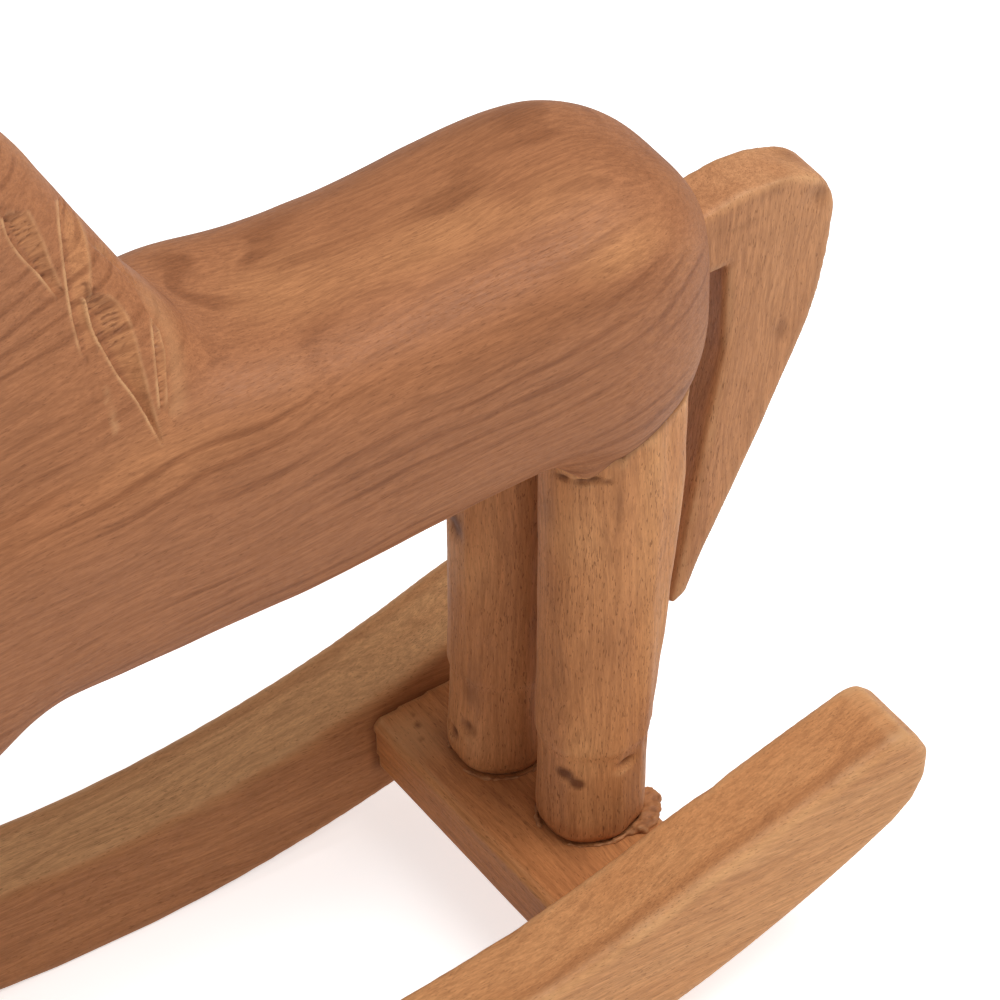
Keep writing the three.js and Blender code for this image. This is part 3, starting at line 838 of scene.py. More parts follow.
def wood_group():
    """Oiled wood with its fibres along the first axis of the vector, in millimetres."""
    name = "oiled_wood"
    if name in bpy.data.node_groups:
        return bpy.data.node_groups[name]
    tree = bpy.data.node_groups.new(name, "ShaderNodeTree")
    for title, kind, value in (
        ("Vector", "NodeSocketVector", (0, 0, 0)),
        ("Tone", "NodeSocketFloat", 0.0),
        ("Shade", "NodeSocketFloat", 0.0),
        ("Bare", "NodeSocketFloat", 0.0),
        ("Pale", "NodeSocketColor", (0.6, 0.4, 0.2, 1)),
        ("Middle", "NodeSocketColor", (0.4, 0.2, 0.1, 1)),
        ("Dark", "NodeSocketColor", (0.2, 0.1, 0.05, 1)),
        ("Bands", "NodeSocketFloat", 0.5),
        ("Rings", "NodeSocketFloat", 0.3),
        ("Pores", "NodeSocketFloat", 0.6),
        ("Mottle", "NodeSocketFloat", 0.4),
    ):
        socket = tree.interface.new_socket(title, in_out="INPUT", socket_type=kind)
        socket.default_value = value
    tree.interface.new_socket("Color", in_out="OUTPUT", socket_type="NodeSocketColor")
    tree.interface.new_socket("Roughness", in_out="OUTPUT", socket_type="NodeSocketFloat")
    tree.interface.new_socket("Height", in_out="OUTPUT", socket_type="NodeSocketFloat")
    desk = NodeDesk(tree)
    given = desk.add("NodeGroupInput").outputs
    vector = given["Vector"]

    wander = desk.noise(desk.stretch(vector, (0.012, 0.035, 0.035)), 2.0)
    shift = desk.add("ShaderNodeVectorMath", operation="MULTIPLY_ADD")
    desk.feed(shift.inputs[0], wander.outputs["Color"])
    shift.inputs[1].default_value = (6.0, 14.0, 14.0)
    desk.feed(shift.inputs[2], vector)
    grain = shift.outputs[0]

    broad = desk.noise(desk.stretch(grain, (0.014, 0.06, 0.06)), 3.0, 0.55).outputs["Fac"]
    bands = desk.noise(desk.stretch(grain, (0.011, 0.26, 0.26)), 3.0, 0.6).outputs["Fac"]
    streaks = desk.noise(desk.stretch(grain, (0.05, 1.1, 1.1)), 3.0, 0.6).outputs["Fac"]
    fibres = desk.noise(desk.stretch(vector, (0.35, 4.2, 4.2)), 2.0, 0.6).outputs["Fac"]
    mottle = desk.noise(desk.stretch(vector, (0.7, 1.3, 1.3)), 4.0, 0.7, 0.3).outputs["Fac"]
    pore_noise = desk.noise(desk.stretch(vector, (0.5, 3.4, 3.4)), 1.0, 0.4).outputs["Fac"]
    patch = desk.noise(desk.stretch(grain, (0.05, 0.13, 0.13), (3, 9, 2)), 3.0, 0.6).outputs["Fac"]
    crowd = desk.noise(desk.stretch(grain, (0.03, 0.11, 0.11), (7, 3, 5)), 2.0).outputs["Fac"]
    pore_line = desk.math("SUBTRACT", 0.735, desk.math("MULTIPLY", crowd, 0.17))
    pores = desk.rise(desk.math("SUBTRACT", pore_noise, pore_line), 0.0, 0.05)

    split = desk.add("ShaderNodeSeparateXYZ")
    desk.feed(split.inputs[0], grain)
    across = desk.math("ADD", split.outputs[1], -14.0)
    upward = desk.math("ADD", split.outputs[2], -40.0)
    radius = desk.math(
        "SQRT", desk.math("ADD", desk.math("POWER", across, 2.0), desk.math("POWER", upward, 2.0))
    )
    ring_wave = desk.math("SINE", desk.math("MULTIPLY", radius, 1.25))
    ring_share = desk.rise(ring_wave, 0.2, 1.0)
    ring_place = desk.rise(broad, 0.42, 0.6)
    rings = desk.math("MULTIPLY", desk.math("MULTIPLY", ring_share, ring_place), given["Rings"])

    pale_bands = desk.rise(bands, 0.5, 0.72, 0.0, 0.3)
    dark_bands = desk.rise(bands, 0.5, 0.3, 0.0, 0.8)
    lift = desk.math("ADD", desk.rise(broad, 0.46, 0.68, 0.0, 0.45), pale_bands)
    lift = desk.math("ADD", lift, desk.rise(patch, 0.48, 0.64, 0.0, 0.6))
    toned = desk.math("ADD", desk.math("MULTIPLY", lift, given["Bands"]), given["Tone"])
    colour = desk.blend(desk.math("MAXIMUM", toned, 0.0), given["Middle"], given["Pale"])
    deep = desk.math("ADD", dark_bands, desk.rise(patch, 0.47, 0.32, 0.0, 0.5))
    deep = desk.math("MULTIPLY", deep, given["Bands"])
    deep = desk.math("ADD", deep, desk.math("MAXIMUM", desk.math("MULTIPLY", toned, -1.0), 0.0))
    deep = desk.math("ADD", desk.math("MULTIPLY", deep, 0.6), desk.math("MULTIPLY", rings, 0.8))
    colour = desk.blend(deep, colour, given["Dark"])

    streak = desk.rise(streaks, 0.3, 0.7, 0.86, 1.13)
    fibre = desk.rise(fibres, 0.3, 0.7, 0.9, 1.1)
    speck = desk.math("MULTIPLY", desk.math("SUBTRACT", mottle, 0.5), given["Mottle"])
    bright = desk.math("MULTIPLY", desk.math("MULTIPLY", streak, fibre), desk.math("ADD", speck, 1.0))
    tint = desk.add("ShaderNodeCombineColor")
    desk.feed(tint.inputs[0], bright)
    desk.feed(tint.inputs[1], desk.math("POWER", bright, 1.12))
    desk.feed(tint.inputs[2], desk.math("POWER", bright, 1.2))
    colour = desk.blend(1.0, colour, tint.outputs[0], "MULTIPLY")
    # The worn colour mixed in by the Bare mask: worn edges and pale ridges, and painted light on the
    # rear board and a painted highlight at the rockers' tips
    worn = desk.blend(0.4, given["Pale"], (0.8, 0.5, 0.25, 1))
    colour = desk.blend(desk.math("MULTIPLY", given["Bare"], 0.85), colour, worn)
    pored = desk.math("MULTIPLY", pores, given["Pores"])
    colour = desk.blend(pored, colour, desk.blend(0.6, given["Dark"], (0.06, 0.02, 0.008, 1)))
    # The dark colour mixed in by the Shade mask: stains and knots, and painted shade in hollows,
    # grooves and where parts meet
    stain_and_painted_shade = desk.blend(0.65, given["Dark"], (0.075, 0.02, 0.006, 1))
    colour = desk.blend(given["Shade"], colour, stain_and_painted_shade)

    rough = desk.rise(mottle, 0.3, 0.7, 0.5, 0.66)
    rough = desk.math("ADD", rough, desk.math("MULTIPLY", pored, 0.15))
    rough = desk.math("SUBTRACT", rough, desk.math("MULTIPLY", given["Bare"], 0.08))
    height = desk.math("ADD", desk.math("MULTIPLY", fibres, 0.35), desk.math("MULTIPLY", mottle, 0.3))
    height = desk.math("SUBTRACT", height, desk.math("MULTIPLY", pored, 0.9))
    put = desk.add("NodeGroupOutput").inputs
    desk.feed(put["Color"], colour)
    desk.feed(put["Roughness"], rough)
    desk.feed(put["Height"], height)
    return tree


def plus_alpha(colour):
    return (*colour, 1.0)


# The finish of each kind of piece: its name, the strength of its bands, growth rings, pores and
# mottling, the turn that brings its fibres onto the first axis, in degrees, and the shift that
# gives it a stretch of the pattern of its own, in millimetres
FINISHES = {
    "block": ("carved_block_oak", 0.8, 0.9, 0.35, 2.0, (0, 4, 0), (0, 0, 0)),
    "tail": ("tail_pine", 1.0, 0.15, 0.5, 0.9, (0, 84, 0), (0, 40, 0)),
    "leg": ("leg_pine", 1.1, 0.1, 0.6, 1.2, (0, 90, 0), (0, 90, 0)),
    "board": ("board_pine", 0.9, 0.2, 0.45, 0.8, (0, 0, 90), (0, 20, 70)),
    "rocker": ("rocker_pine", 0.95, 0.25, 0.4, 0.8, (0, 0, 0), (30, 10, 60)),
    "glue": ("dried_glue", 0.8, 0.0, 0.3, 0.9, (0, 0, 0), (0, 0, 0)),
}


def colours_of(wood, kind):
    return [getattr(wood, kind + shade) for shade in ("_pale", "_mid", "_dark")]


def wood_material(kind, colours):
    """The finish of a kind of piece, in its pale, middle and dark colour."""
    name, bands, rings, pores, mottle, turn, shift = FINISHES[kind]
    material = bpy.data.materials.new(name)
    material.use_nodes = True
    desk = NodeDesk(material.node_tree)
    shader = material.node_tree.nodes["Principled BSDF"]
    place = desk.add("ShaderNodeTexCoord")
    mapping = desk.add("ShaderNodeMapping")
    desk.feed(mapping.inputs["Vector"], place.outputs["Object"])
    mapping.inputs["Scale"].default_value = (1 / MM, 1 / MM, 1 / MM)
    mapping.inputs["Rotation"].default_value = [math.radians(angle) for angle in turn]
    mapping.inputs["Location"].default_value = shift
    wood = desk.add("ShaderNodeGroup", node_tree=wood_group())
    desk.feed(wood.inputs["Vector"], mapping.outputs["Vector"])
    for title in ("Tone", "Shade", "Bare"):
        mask = desk.add("ShaderNodeAttribute", attribute_name=title.lower())
        desk.feed(wood.inputs[title], mask.outputs["Fac"])
    for title, colour in zip(("Pale", "Middle", "Dark"), colours):
        wood.inputs[title].default_value = plus_alpha(colour)
    wood.inputs["Rings"].default_value = rings
    wood.inputs["Pores"].default_value = pores
    flame = desk.add("ShaderNodeAttribute", attribute_name="flame")
    for title, value in (("Bands", bands), ("Mottle", mottle)):
        desk.feed(wood.inputs[title], desk.math("MULTIPLY", flame.outputs["Fac"], value))
    bump = desk.add("ShaderNodeBump")
    bump.inputs["Strength"].default_value = 0.5
    bump.inputs["Distance"].default_value = 0.12 * MM
    desk.feed(bump.inputs["Height"], wood.outputs["Height"])
    desk.feed(shader.inputs["Base Color"], wood.outputs["Color"])
    desk.feed(shader.inputs["Roughness"], wood.outputs["Roughness"])
    desk.feed(shader.inputs["Normal"], bump.outputs["Normal"])
    shader.inputs["IOR"].default_value = 1.4
    shader.inputs["Specular IOR Level"].default_value = 0.35
    return material


# Pieces


def set_wear(piece, tone, shade, bare, edge_gain=1.0, flame=1.0):
    """Keeps the masks of a piece: its broad tones, its stains and painted shade, with painted shade
    added in its hollows, its worn edges, and how much its fibres flicker. The tones and worn edges of
    some pieces carry painted light."""
    bulge = curvature(piece, 6)
    worn = smooth_rise(bulge, 0.08, 0.42) * edge_gain
    # Painted shade in hollows and creases, from how far each place sinks below its surroundings
    hollow_shade = smooth_rise(-bulge, 0.12, 0.6) * 0.45
    points = points_of(piece)
    patchy = 0.6 + 0.4 * hashed_noise(points * 0.14, 11)
    set_mask(piece, "tone", tone)
    set_mask(piece, "flame", flame * np.ones(len(points)))
    set_mask(piece, "shade", np.clip(shade + hollow_shade, 0, 0.92))
    set_mask(piece, "bare", np.clip(bare + worn * patchy, 0, 1))


def knife_marks(points, amount, seed):
    """Low waves left by hand carving, in millimetres."""
    slow = hashed_noise(points * 0.045, seed)
    quick = hashed_noise(points * 0.13, seed + 1)
    return amount * (0.7 * slow + 0.3 * quick)


BLOCK_CONTRAST = 2.4
BLOCK_TONES = [
    ((66, -6, 222), (34, 17, 14), 0.55),
    ((30, -2, 221), (26, 20, 14), 0.35),
    ((98, -26, 215), (20, 14, 9), 0.5),
    ((92, -14, 224), (22, 12, 10), 0.3),
    ((112, -24, 206), (16, 12, 7), 0.42),
    ((-18, -30, 215), (30, 22, 12), 0.3),
    ((70, -33, 209), (36, 12, 7), -0.3),
    ((101, -31, 207), (24, 12, 7), -0.3),
    ((124, -12, 214), (14, 24, 16), -0.4),
    ((112, -6, 222), (12, 16, 10), -0.25),
    ((40, -35, 190), (60, 14, 16), -0.12),
    ((84, -6, 227), (9, 10, 8), -0.4),
    ((52, -34, 170), (30, 14, 12), 0.1),
    ((118, -26, 176), (20, 16, 14), 0.2),
]


def both_sides(place, reach, strength):
    """The same soft spot on the left and on the right."""
    x, y, z = place
    return [((x, -y, z), reach, strength), ((x, y, z), reach, strength)]


# Where the block is softened: the fillet behind the neck, the places worn round with it, and how
# far the back swells there, in millimetres
FILLET_SPOTS = [((12, 0, 222), (44, 52, 34), 2.5), *both_sides((8, 32, 212), (40, 26, 34), 2.5)]
FILLET_ROUNDS = 150
MELT_SPOTS = [
    ((2, 0, 224), (26, 46, 22), 1.0),
    *both_sides((-4, 26, 214), (34, 26, 24), 1.0),
    *both_sides((-50, 34, 208), (40, 14, 18), 0.7),
    ((-88, 0, 235), (30, 44, 50), 1.0),
    ((-88, 0, 300), (34, 34, 40), 0.8),
    ((-86, 0, 345), (24, 26, 20), 0.6),
]
MELT_ROUNDS = 34
BACK_SWELL = [((14, 25, 217), (30, 24, 18), 2.6), ((14, -25, 217), (30, 24, 18), 1.8)]

# The torn lip that hangs over the top of the near hind leg, in millimetres
LIP_FINE_MESH = [((91, -26, 152), (13, 10, 8), 1.0)]
LIP_SPOT = [((90.5, -27, 154), (9, 8, 6), 1.0)]
LIP_DROP, LIP_OUT = 3.6, 1.2


def block_skin():
    """The closed shells of the trunk, neck, head and ears."""
    vertices, faces = [], []
    count = 0
    for rings in (body_rings(), neck_rings(), head_rings(), ear_rings(LEFT), ear_rings(RIGHT)):
        shell, skin_faces = skin(rings, count)
        vertices.append(shell)
        faces += skin_faces
        count += len(shell)
    return np.vstack(vertices), faces


def shape_block(carving):
    """One even mesh of the block, with its joins worn round and its mesh finer where it is
    carved."""
    piece = new_object("carved_block", *block_skin())
    remesh(piece, carving.block_mesh)
    relax(piece, 3)
    melted = np.clip(spots(points_of(piece), MELT_SPOTS), 0, 1)
    fillet = np.clip(spots(points_of(piece), FILLET_SPOTS), 0, 1)
    fill_hollow(piece, FILLET_ROUNDS, fillet)
    melt(piece, MELT_ROUNDS, melted)
    refine(piece, mane_zone(piece, 3.0, SCOOPS))
    refine(piece, mane_zone(piece, 1.2, SCOOPS[:SCOOPS_IN_PHOTO]))
    refine(piece, face_zone(piece))
    refine(piece, spots(points_of(piece), LIP_FINE_MESH) > 0)
    relax(piece, 2)
    points = points_of(piece)
    lip = spots(points, LIP_SPOT)
    points = points + normals_of(piece) * knife_marks(points, carving.tool_marks, 5)[:, None]
    points[:, 2] -= LIP_DROP * lip
    points[:, 1] -= LIP_OUT * lip
    points = points + normals_of(piece) * spots(points, BACK_SWELL)[:, None]
    set_points(piece, points)
    return piece


def carve_block(carving, finish):
    """The trunk, neck, head and ears from one block, with the mane and face carved in."""
    piece = shape_block(carving)
    shade, pale, fresh = carve_mane(piece, carving.gouge_depth)
    dark = carve_face(piece)
    points = points_of(piece)
    rough = hashed_noise(points * [0.02, 0.09, 0.09], 21)
    tone = BLOCK_CONTRAST * spots(points, BLOCK_TONES) * (0.75 + 0.5 * rough) + 0.7 * fresh
    # Painted shade in the mane's chatter and on its scoop walls, in the face's grooves and where the
    # legs and tail meet the block; for the block this mask holds only painted shade
    joint = nearness(piece, [*LEGS, "tail"], 3.0)
    stain_and_painted_shade = 0.8 * shade + 0.6 * dark + 0.55 * smooth_rise(joint, 0.35, 0.95)
    upward = np.clip(normals_of(piece)[:, 2], 0, 1)
    flame = 0.42 + 0.58 * smooth_rise(upward, 0.1, 0.7)
    set_wear(piece, tone, stain_and_painted_shade, 0.9 * pale, 0.4, flame)
    finish_piece(piece, "body_wood", finish, "carved_body")


LEGS = {
    "hind_leg_left": ("rear_cross_board", 31),
    "hind_leg_right": ("rear_cross_board", 37),
    "fore_leg_left": ("front_cross_board", 41),
    "fore_leg_right": ("front_cross_board", 43),
}

# Dents in millimetres: place, reach and depth
LEG_DENTS = {
    "hind_leg_left": [
        ((102.4, -29.5, 61.0), (5, 4, 2.4), 1.3),
        ((110.5, -25, 62.0), (4, 5, 3.2), 1.1),
        ((89.1, -22.5, 59.0), (3, 3, 3.4), 0.7),
        ((88.5, -21.5, 150.0), (2.6, 3, 1.3), 0.9),
        ((91.3, -25.0, 149.7), (2.6, 3, 1.2), 1.2),
        ((93.8, -27.2, 150.2), (2.6, 3, 1.4), 1.6),
        ((96.4, -28.4, 149.5), (2.4, 3, 1.1), 0.8),
        ((89.5, -22.0, 88.0), (4, 4, 12), 0.5),
        ((104.0, -29.5, 104.0), (6, 4, 14), 0.4),
    ],
    "hind_leg_right": [
        ((83.9, 15.5, 110.0), (4, 5, 4), 0.9),
        ((83.9, 11.7, 50.0), (4, 4, 4), 1.2),
        ((84.5, 17.5, 44.8), (4, 4, 3), 1.0),
        ((86.0, 6.0, 77.0), (4, 4, 6), 0.6),
    ],
    "fore_leg_left": [((-103, -22, 62), (4, 4, 3), 0.8), ((-93, -28, 96), (5, 4, 9), 0.5)],
    "fore_leg_right": [((-103, 22, 80), (4, 4, 4), 0.8), ((-90, 28, 60), (5, 4, 4), 0.7)],
}
# Dark stains and knots on the legs: place, reach and strength, in millimetres, with painted shade in
# the groove under the body's lip
LEG_STAINS_AND_GROOVE_SHADE = {
    "hind_leg_left": [
        ((88.6, -22.5, 59.0), (3.2, 4, 2.8), 1.9),
        ((91.2, -24.6, 57.0), (2.6, 3, 2.4), 1.7),
        ((102.4, -29.0, 61.4), (3.6, 3, 1.4), 0.9),
        ((86.0, -17.0, 138.0), (5, 6, 9), 0.45),
        ((99.0, -29.0, 141.0), (1.6, 4, 9), 0.5),
        ((87.0, -20.0, 108.0), (2, 4, 12), 0.4),
        # Painted shade in the groove under the body's lip
        ((88.5, -20.8, 150.0), (2.6, 3, 1.5), 1.1),
        ((91.3, -24.6, 149.7), (2.8, 3, 1.0), 1.0),
        ((93.8, -26.6, 150.2), (2.4, 3, 1.4), 1.3),
        ((96.4, -27.9, 149.5), (2.4, 3, 0.9), 0.9),
        ((96.0, -28.5, 134.0), (1.2, 3, 14), 0.3),
        ((88.5, -20.5, 92.0), (2, 3, 14), 0.25),
    ],
    "hind_leg_right": [
        ((83.9, 15.0, 112.0), (5, 5, 6), 1.3),
        ((83.9, 11.7, 50.0), (4, 4, 3), 0.9),
        ((84.2, 17.0, 44.8), (4, 3, 2.4), 0.9),
        ((84.5, 11.0, 62.0), (5, 3, 7), 0.5),
        ((85.0, 5.0, 98.0), (4, 5, 8), 0.35),
    ],
    "fore_leg_left": [((-103, -22, 62), (4, 4, 2.4), 0.6)],
    "fore_leg_right": [((-103, 22, 80), (4, 4, 3), 0.6)],
}


FLATS_ROUND_LEG, FLAT_DEPTH = 9, 0.22
ANKLE_HEIGHT, ANKLE_DEPTH = 30.0, 0.7


def whittle_leg(node, carving, finish):
    """A round peg with flats left by the knife, coped to the body and standing on its board."""
    board, seed = LEGS[node]
    piece = fine_copy(node, node + "_peg", carving.small_mesh, 8)
    to_body = smooth_rise(nearness(piece, ["carved_body"], 2.4), 0.1, 0.6)
    to_board = smooth_rise(nearness(piece, [board], 2.0), 0.1, 0.8)
    points = points_of(piece)
    normals = normals_of(piece)
    centre = (points.min(axis=0) + points.max(axis=0)) / 2
    low = points[:, 2].min()
    turn = np.arctan2(points[:, 1] - centre[1], points[:, 0] - centre[0])
    wander = 0.8 * hashed_noise(points * 0.03, seed)
    flats = FLAT_DEPTH * np.cos(FLATS_ROUND_LEG * turn + wander)
    steady = 1 - np.maximum(to_body, to_board)
    waves = (flats + knife_marks(points, 1.6 * carving.tool_marks, seed)) * steady
    ankle = smooth_rise(low + ANKLE_HEIGHT - points[:, 2], 0, 4)
    ankle = ankle * smooth_rise(points[:, 2], low + 2, low + 20)
    sideways = 1 - np.abs(normals[:, 2])
    push = waves - ANKLE_DEPTH * ankle * sideways - spots(points, LEG_DENTS[node])
    points = points + normals * push[:, None]
    points[:, 2] += 1.3 * to_body - 0.5 * to_board
    set_points(piece, points)
    streak = hashed_noise(points * [0.16, 0.16, 0.03], seed + 3)
    tone = 0.35 * streak + 0.45 * hashed_noise(points * [0.11, 0.11, 0.06], seed + 4)
    # Stains and knots, with painted shade round the foot where it meets the board and at the top
    # where it meets the body
    shade = spots(points, LEG_STAINS_AND_GROOVE_SHADE[node]) + 0.7 * smooth_rise(to_board, 0.1, 0.9)
    shade = shade + 0.5 * smooth_rise(to_body, 0.5, 1)
    set_wear(piece, tone, shade, 0 * tone)
    finish_piece(piece, "leg_wood", finish, node)


TAIL_DENTS = [
    ((158.5, -8, 150.5), (4, 4, 7), 0.5),
    ((168, -7, 186), (6, 5, 5), 0.9),
    ((171, 0, 180), (4, 8, 5), 0.5),
    ((154, -4, 197), (10, 6, 3), 0.6),
    ((163, 3, 195), (7, 6, 4), 0.5),
    ((147, 8, 160), (5, 4, 9), 0.5),
]
TAIL_FRONT_X, TAIL_NOTCH_Z, TAIL_FRONT_SLANT = 143.0, 176.5, 0.145
TAIL_STAINS = [
    ((158.5, -7.5, 150.5), (2.8, 4, 5.5), 0.35),
    ((156, -7, 194), (9, 5, 3), 0.3),
    ((169, -6, 186), (4, 5, 6), 0.45),
    ((166, 2, 193), (6, 6, 5), 0.35),
    ((149, -7.5, 187), (7, 4, 2.4), 0.22),
]


def shape_tail(carving, finish):
    """The flat board of the tail, worn at its top and narrow at its tip."""
    piece = fine_copy("tail", "tail_board", 0.95 * carving.small_mesh, 5)
    to_body = smooth_rise(nearness(piece, ["carved_body"], 2.4), 0.1, 0.6)
    points = points_of(piece)
    normals = normals_of(piece)
    marks = knife_marks(points * [1, 1, 0.5], 1.5 * carving.tool_marks, 51)
    push = marks * (1 - to_body) - spots(points, TAIL_DENTS)
    points = points + normals * push[:, None]
    points[:, 0] -= 1.4 * to_body
    set_points(piece, points)
    below = smooth_rise(180 - points[:, 2], 0, 3)
    edge_x = TAIL_FRONT_X - (TAIL_NOTCH_Z - points[:, 2]) * TAIL_FRONT_SLANT
    # Painted light: the front face, and the side beside the front edge below the notch, are made
    # paler to lift the rump's shadow there
    facing_front = smooth_rise(-normals[:, 0], 0.3, 0.8)
    front = np.maximum(facing_front, 0.8 * bell(points[:, 0] - edge_x, 3.6)) * below
    streak = hashed_noise(points * [0.22, 0.22, 0.02], 53)
    tone = 0.35 * streak + 0.3 * front + 0.25 * hashed_noise(points * 0.06, 54)
    # Stains, with painted shade where the tail meets the body
    shade = spots(points, TAIL_STAINS) + 0.6 * smooth_rise(to_body, 0.4, 1)
    set_wear(piece, tone, shade, 0 * tone)
    finish_piece(piece, "tail_wood", finish, "tail")


BOARDS = {"rear_cross_board": 61, "front_cross_board": 67}
BOARD_STAINS = [
    ((83.4, 31.5, 36.0), (1.4, 1.8, 1), 0.8),
    ((81.6, 27.0, 36.0), (1.1, 1.4, 1), 0.7),
    ((84.5, 35.0, 36.0), (0.9, 1.2, 1), 0.6),
    ((92, -27, 37), (12, 9, 2), 0.18),
    ((108, -26, 38), (9, 12, 3), 0.3),
    ((88, 2, 36.5), (9, 8, 2), 0.3),
]
# Painted light on the rear board's top beside the far hind foot, lifting the body's shadow there
BOARD_PAINTED_LIGHT = [((80, 30, 37), (10, 15, 6), 0.55)]


def cut_board(node, carving, finish):
    """A flat board with worn edges, paler on the face towards the middle of the horse."""
    seed = BOARDS[node]
    piece = fine_copy(node, node + "_plank", carving.small_mesh, 1)
    to_rocker = smooth_rise(nearness(piece, ["left_rocker", "right_rocker"], 1.6), 0.1, 0.8)
    points = points_of(piece)
    normals = normals_of(piece)
    marks = knife_marks(points * [1, 0.5, 1], 0.5 * carving.tool_marks, seed)
    points = points + normals * (marks * (1 - to_rocker))[:, None]
    points[:, 1] += np.sign(points[:, 1]) * 0.6 * to_rocker
    set_points(piece, points)
    outward = -np.sign(points[:, 0]) * normals[:, 0]
    streak = hashed_noise(points * [0.2, 0.02, 0.3], seed + 3)
    tone = 0.3 * streak + 0.5 * smooth_rise(outward, 0.5, 0.95)
    # Painted shade round the feet and where the board meets the rockers
    feet = nearness(piece, [leg for leg, (board, _) in LEGS.items() if board == node], 5.0)
    contact = nearness(piece, ["left_rocker", "right_rocker"], 2.4)
    shade = 0.15 * smooth_rise(feet, 0.3, 1) + 0.1 * smooth_rise(contact, 0.4, 1)
    shade = shade + spots(points, BOARD_STAINS)
    # Worn edges, and painted light on the rear board's top
    set_wear(piece, tone, shade, spots(points, BOARD_PAINTED_LIGHT), 1.3)
    finish_piece(piece, "board_wood", finish, node)


ROCKER_DENTS = [
    ((49.4, 43.8, 36.4), (7, 3, 1.5), 0.5),
    ((11, 42.0, 32.2), (5, 3, 1.5), 0.5),
    ((-40, 44, 34), (8, 3, 2), 0.4),
    ((158, -58, 64), (6, 5, 4), 0.5),
    ((60, -41, 38), (9, 2.5, 2), 0.5),
    ((120, -40.5, 54), (12, 2.5, 2), 0.4),
]


ROCKER_MIDDLE = 51.0
BAND_OUT, BAND_REACH = 8.0, 4.2
TIP_START, TIP_END = 150.0, 164.0


def bend_rocker(side, carving, finish):
    """A curved runner with soft edges, paler on its outer face."""
    node = SIDES[side] + "_rocker"
    seed = 71 + side
    piece = fine_copy(node, node + "_runner", carving.rocker_mesh, 2)
    points = points_of(piece)
    normals = normals_of(piece)
    on_floor = smooth_rise(6 - points[:, 2], 0, 4)
    marks = knife_marks(points * [0.5, 1, 1], 0.55 * carving.tool_marks, seed)
    push = marks * (1 - on_floor) - spots(points, ROCKER_DENTS)
    points = points + normals * push[:, None]
    points[:, 2] = np.maximum(points[:, 2], 0)
    set_points(piece, points)
    outward = side * normals[:, 1]
    off_middle = side * points[:, 1] - ROCKER_MIDDLE
    upward = smooth_rise(normals[:, 2], 0.5, 0.9)
    outer_band = bell(off_middle - BAND_OUT, BAND_REACH) * upward
    streak = hashed_noise(points * [0.02, 0.2, 0.2], seed + 3)
    tone = 0.25 * streak + 0.35 * smooth_rise(outward, 0.5, 0.9) - 0.6 * outer_band
    # Painted shade on the inner faces, and painted light on the tops, much more on the far rocker
    tone = tone - 0.6 * smooth_rise(-outward, 0.5, 0.9) + (0.15 + 0.75 * (side == RIGHT)) * upward
    tip = smooth_rise(np.abs(points[:, 0]), TIP_START, TIP_END)
    shade = 0.1 * outer_band
    # Painted shade where the cross boards sit on the rocker and along its bottom by the floor
    contact = nearness(piece, ["rear_cross_board", "front_cross_board"], 3.5)
    shade = shade + 0.5 * smooth_rise(contact, 0.3, 1) + 0.25 * on_floor
    # Worn edges, and a painted highlight on the tops at the tips
    set_wear(piece, tone, shade, 0.35 * tip * upward, 0.8)
    finish_piece(piece, "rocker_wood", finish, node)


# Beads of glue round each foot: the turn where a stretch starts and ends, in degrees, how far
# out it lies and how thick it is, in millimetres
GLUE_STRETCHES = {
    "hind_leg_left": [
        (-150, -95, 12.2, 0.6), (-95, -55, 12.8, 1.0), (-66, -22, 13.6, 2.0), (-62, -26, 15.2, 1.5),
        (-22, 30, 12.8, 1.0), (30, 170, 12.6, 0.8)
    ],
    "hind_leg_right": [(-170, -80, 12.5, 0.7), (-60, 40, 12.8, 1.0), (60, 150, 12.4, 0.8)],
    "fore_leg_left": [(-160, -60, 12.4, 1.0), (0, 90, 12.4, 1.1)],
    "fore_leg_right": [(-120, 10, 12.4, 1.0), (60, 160, 12.5, 1.0)],
}


BEAD_SIDES, BEAD_RINGS = 10, 7
BEAD_SQUASH = 0.75
BEAD_SPACING = 0.4
BEAD_MESH = 0.4
BEAD_MELT = 7
BEAD_RAGGED = 0.4


def ball(centre, radius):
    """A small closed ball of glue as rings."""
    rings = []
    angle = 2 * math.pi * np.arange(BEAD_SIDES) / BEAD_SIDES
    for share in np.linspace(0.04, 0.96, BEAD_RINGS):
        reach = radius * math.sin(math.pi * share)
        x = centre[0] + reach * np.cos(angle)
        y = centre[1] + reach * np.sin(angle)
        z = centre[2] + radius * BEAD_SQUASH * math.cos(math.pi * share)
        rings.append(np.column_stack([x, y, np.full(BEAD_SIDES, z)]))
    return rings[::-1]


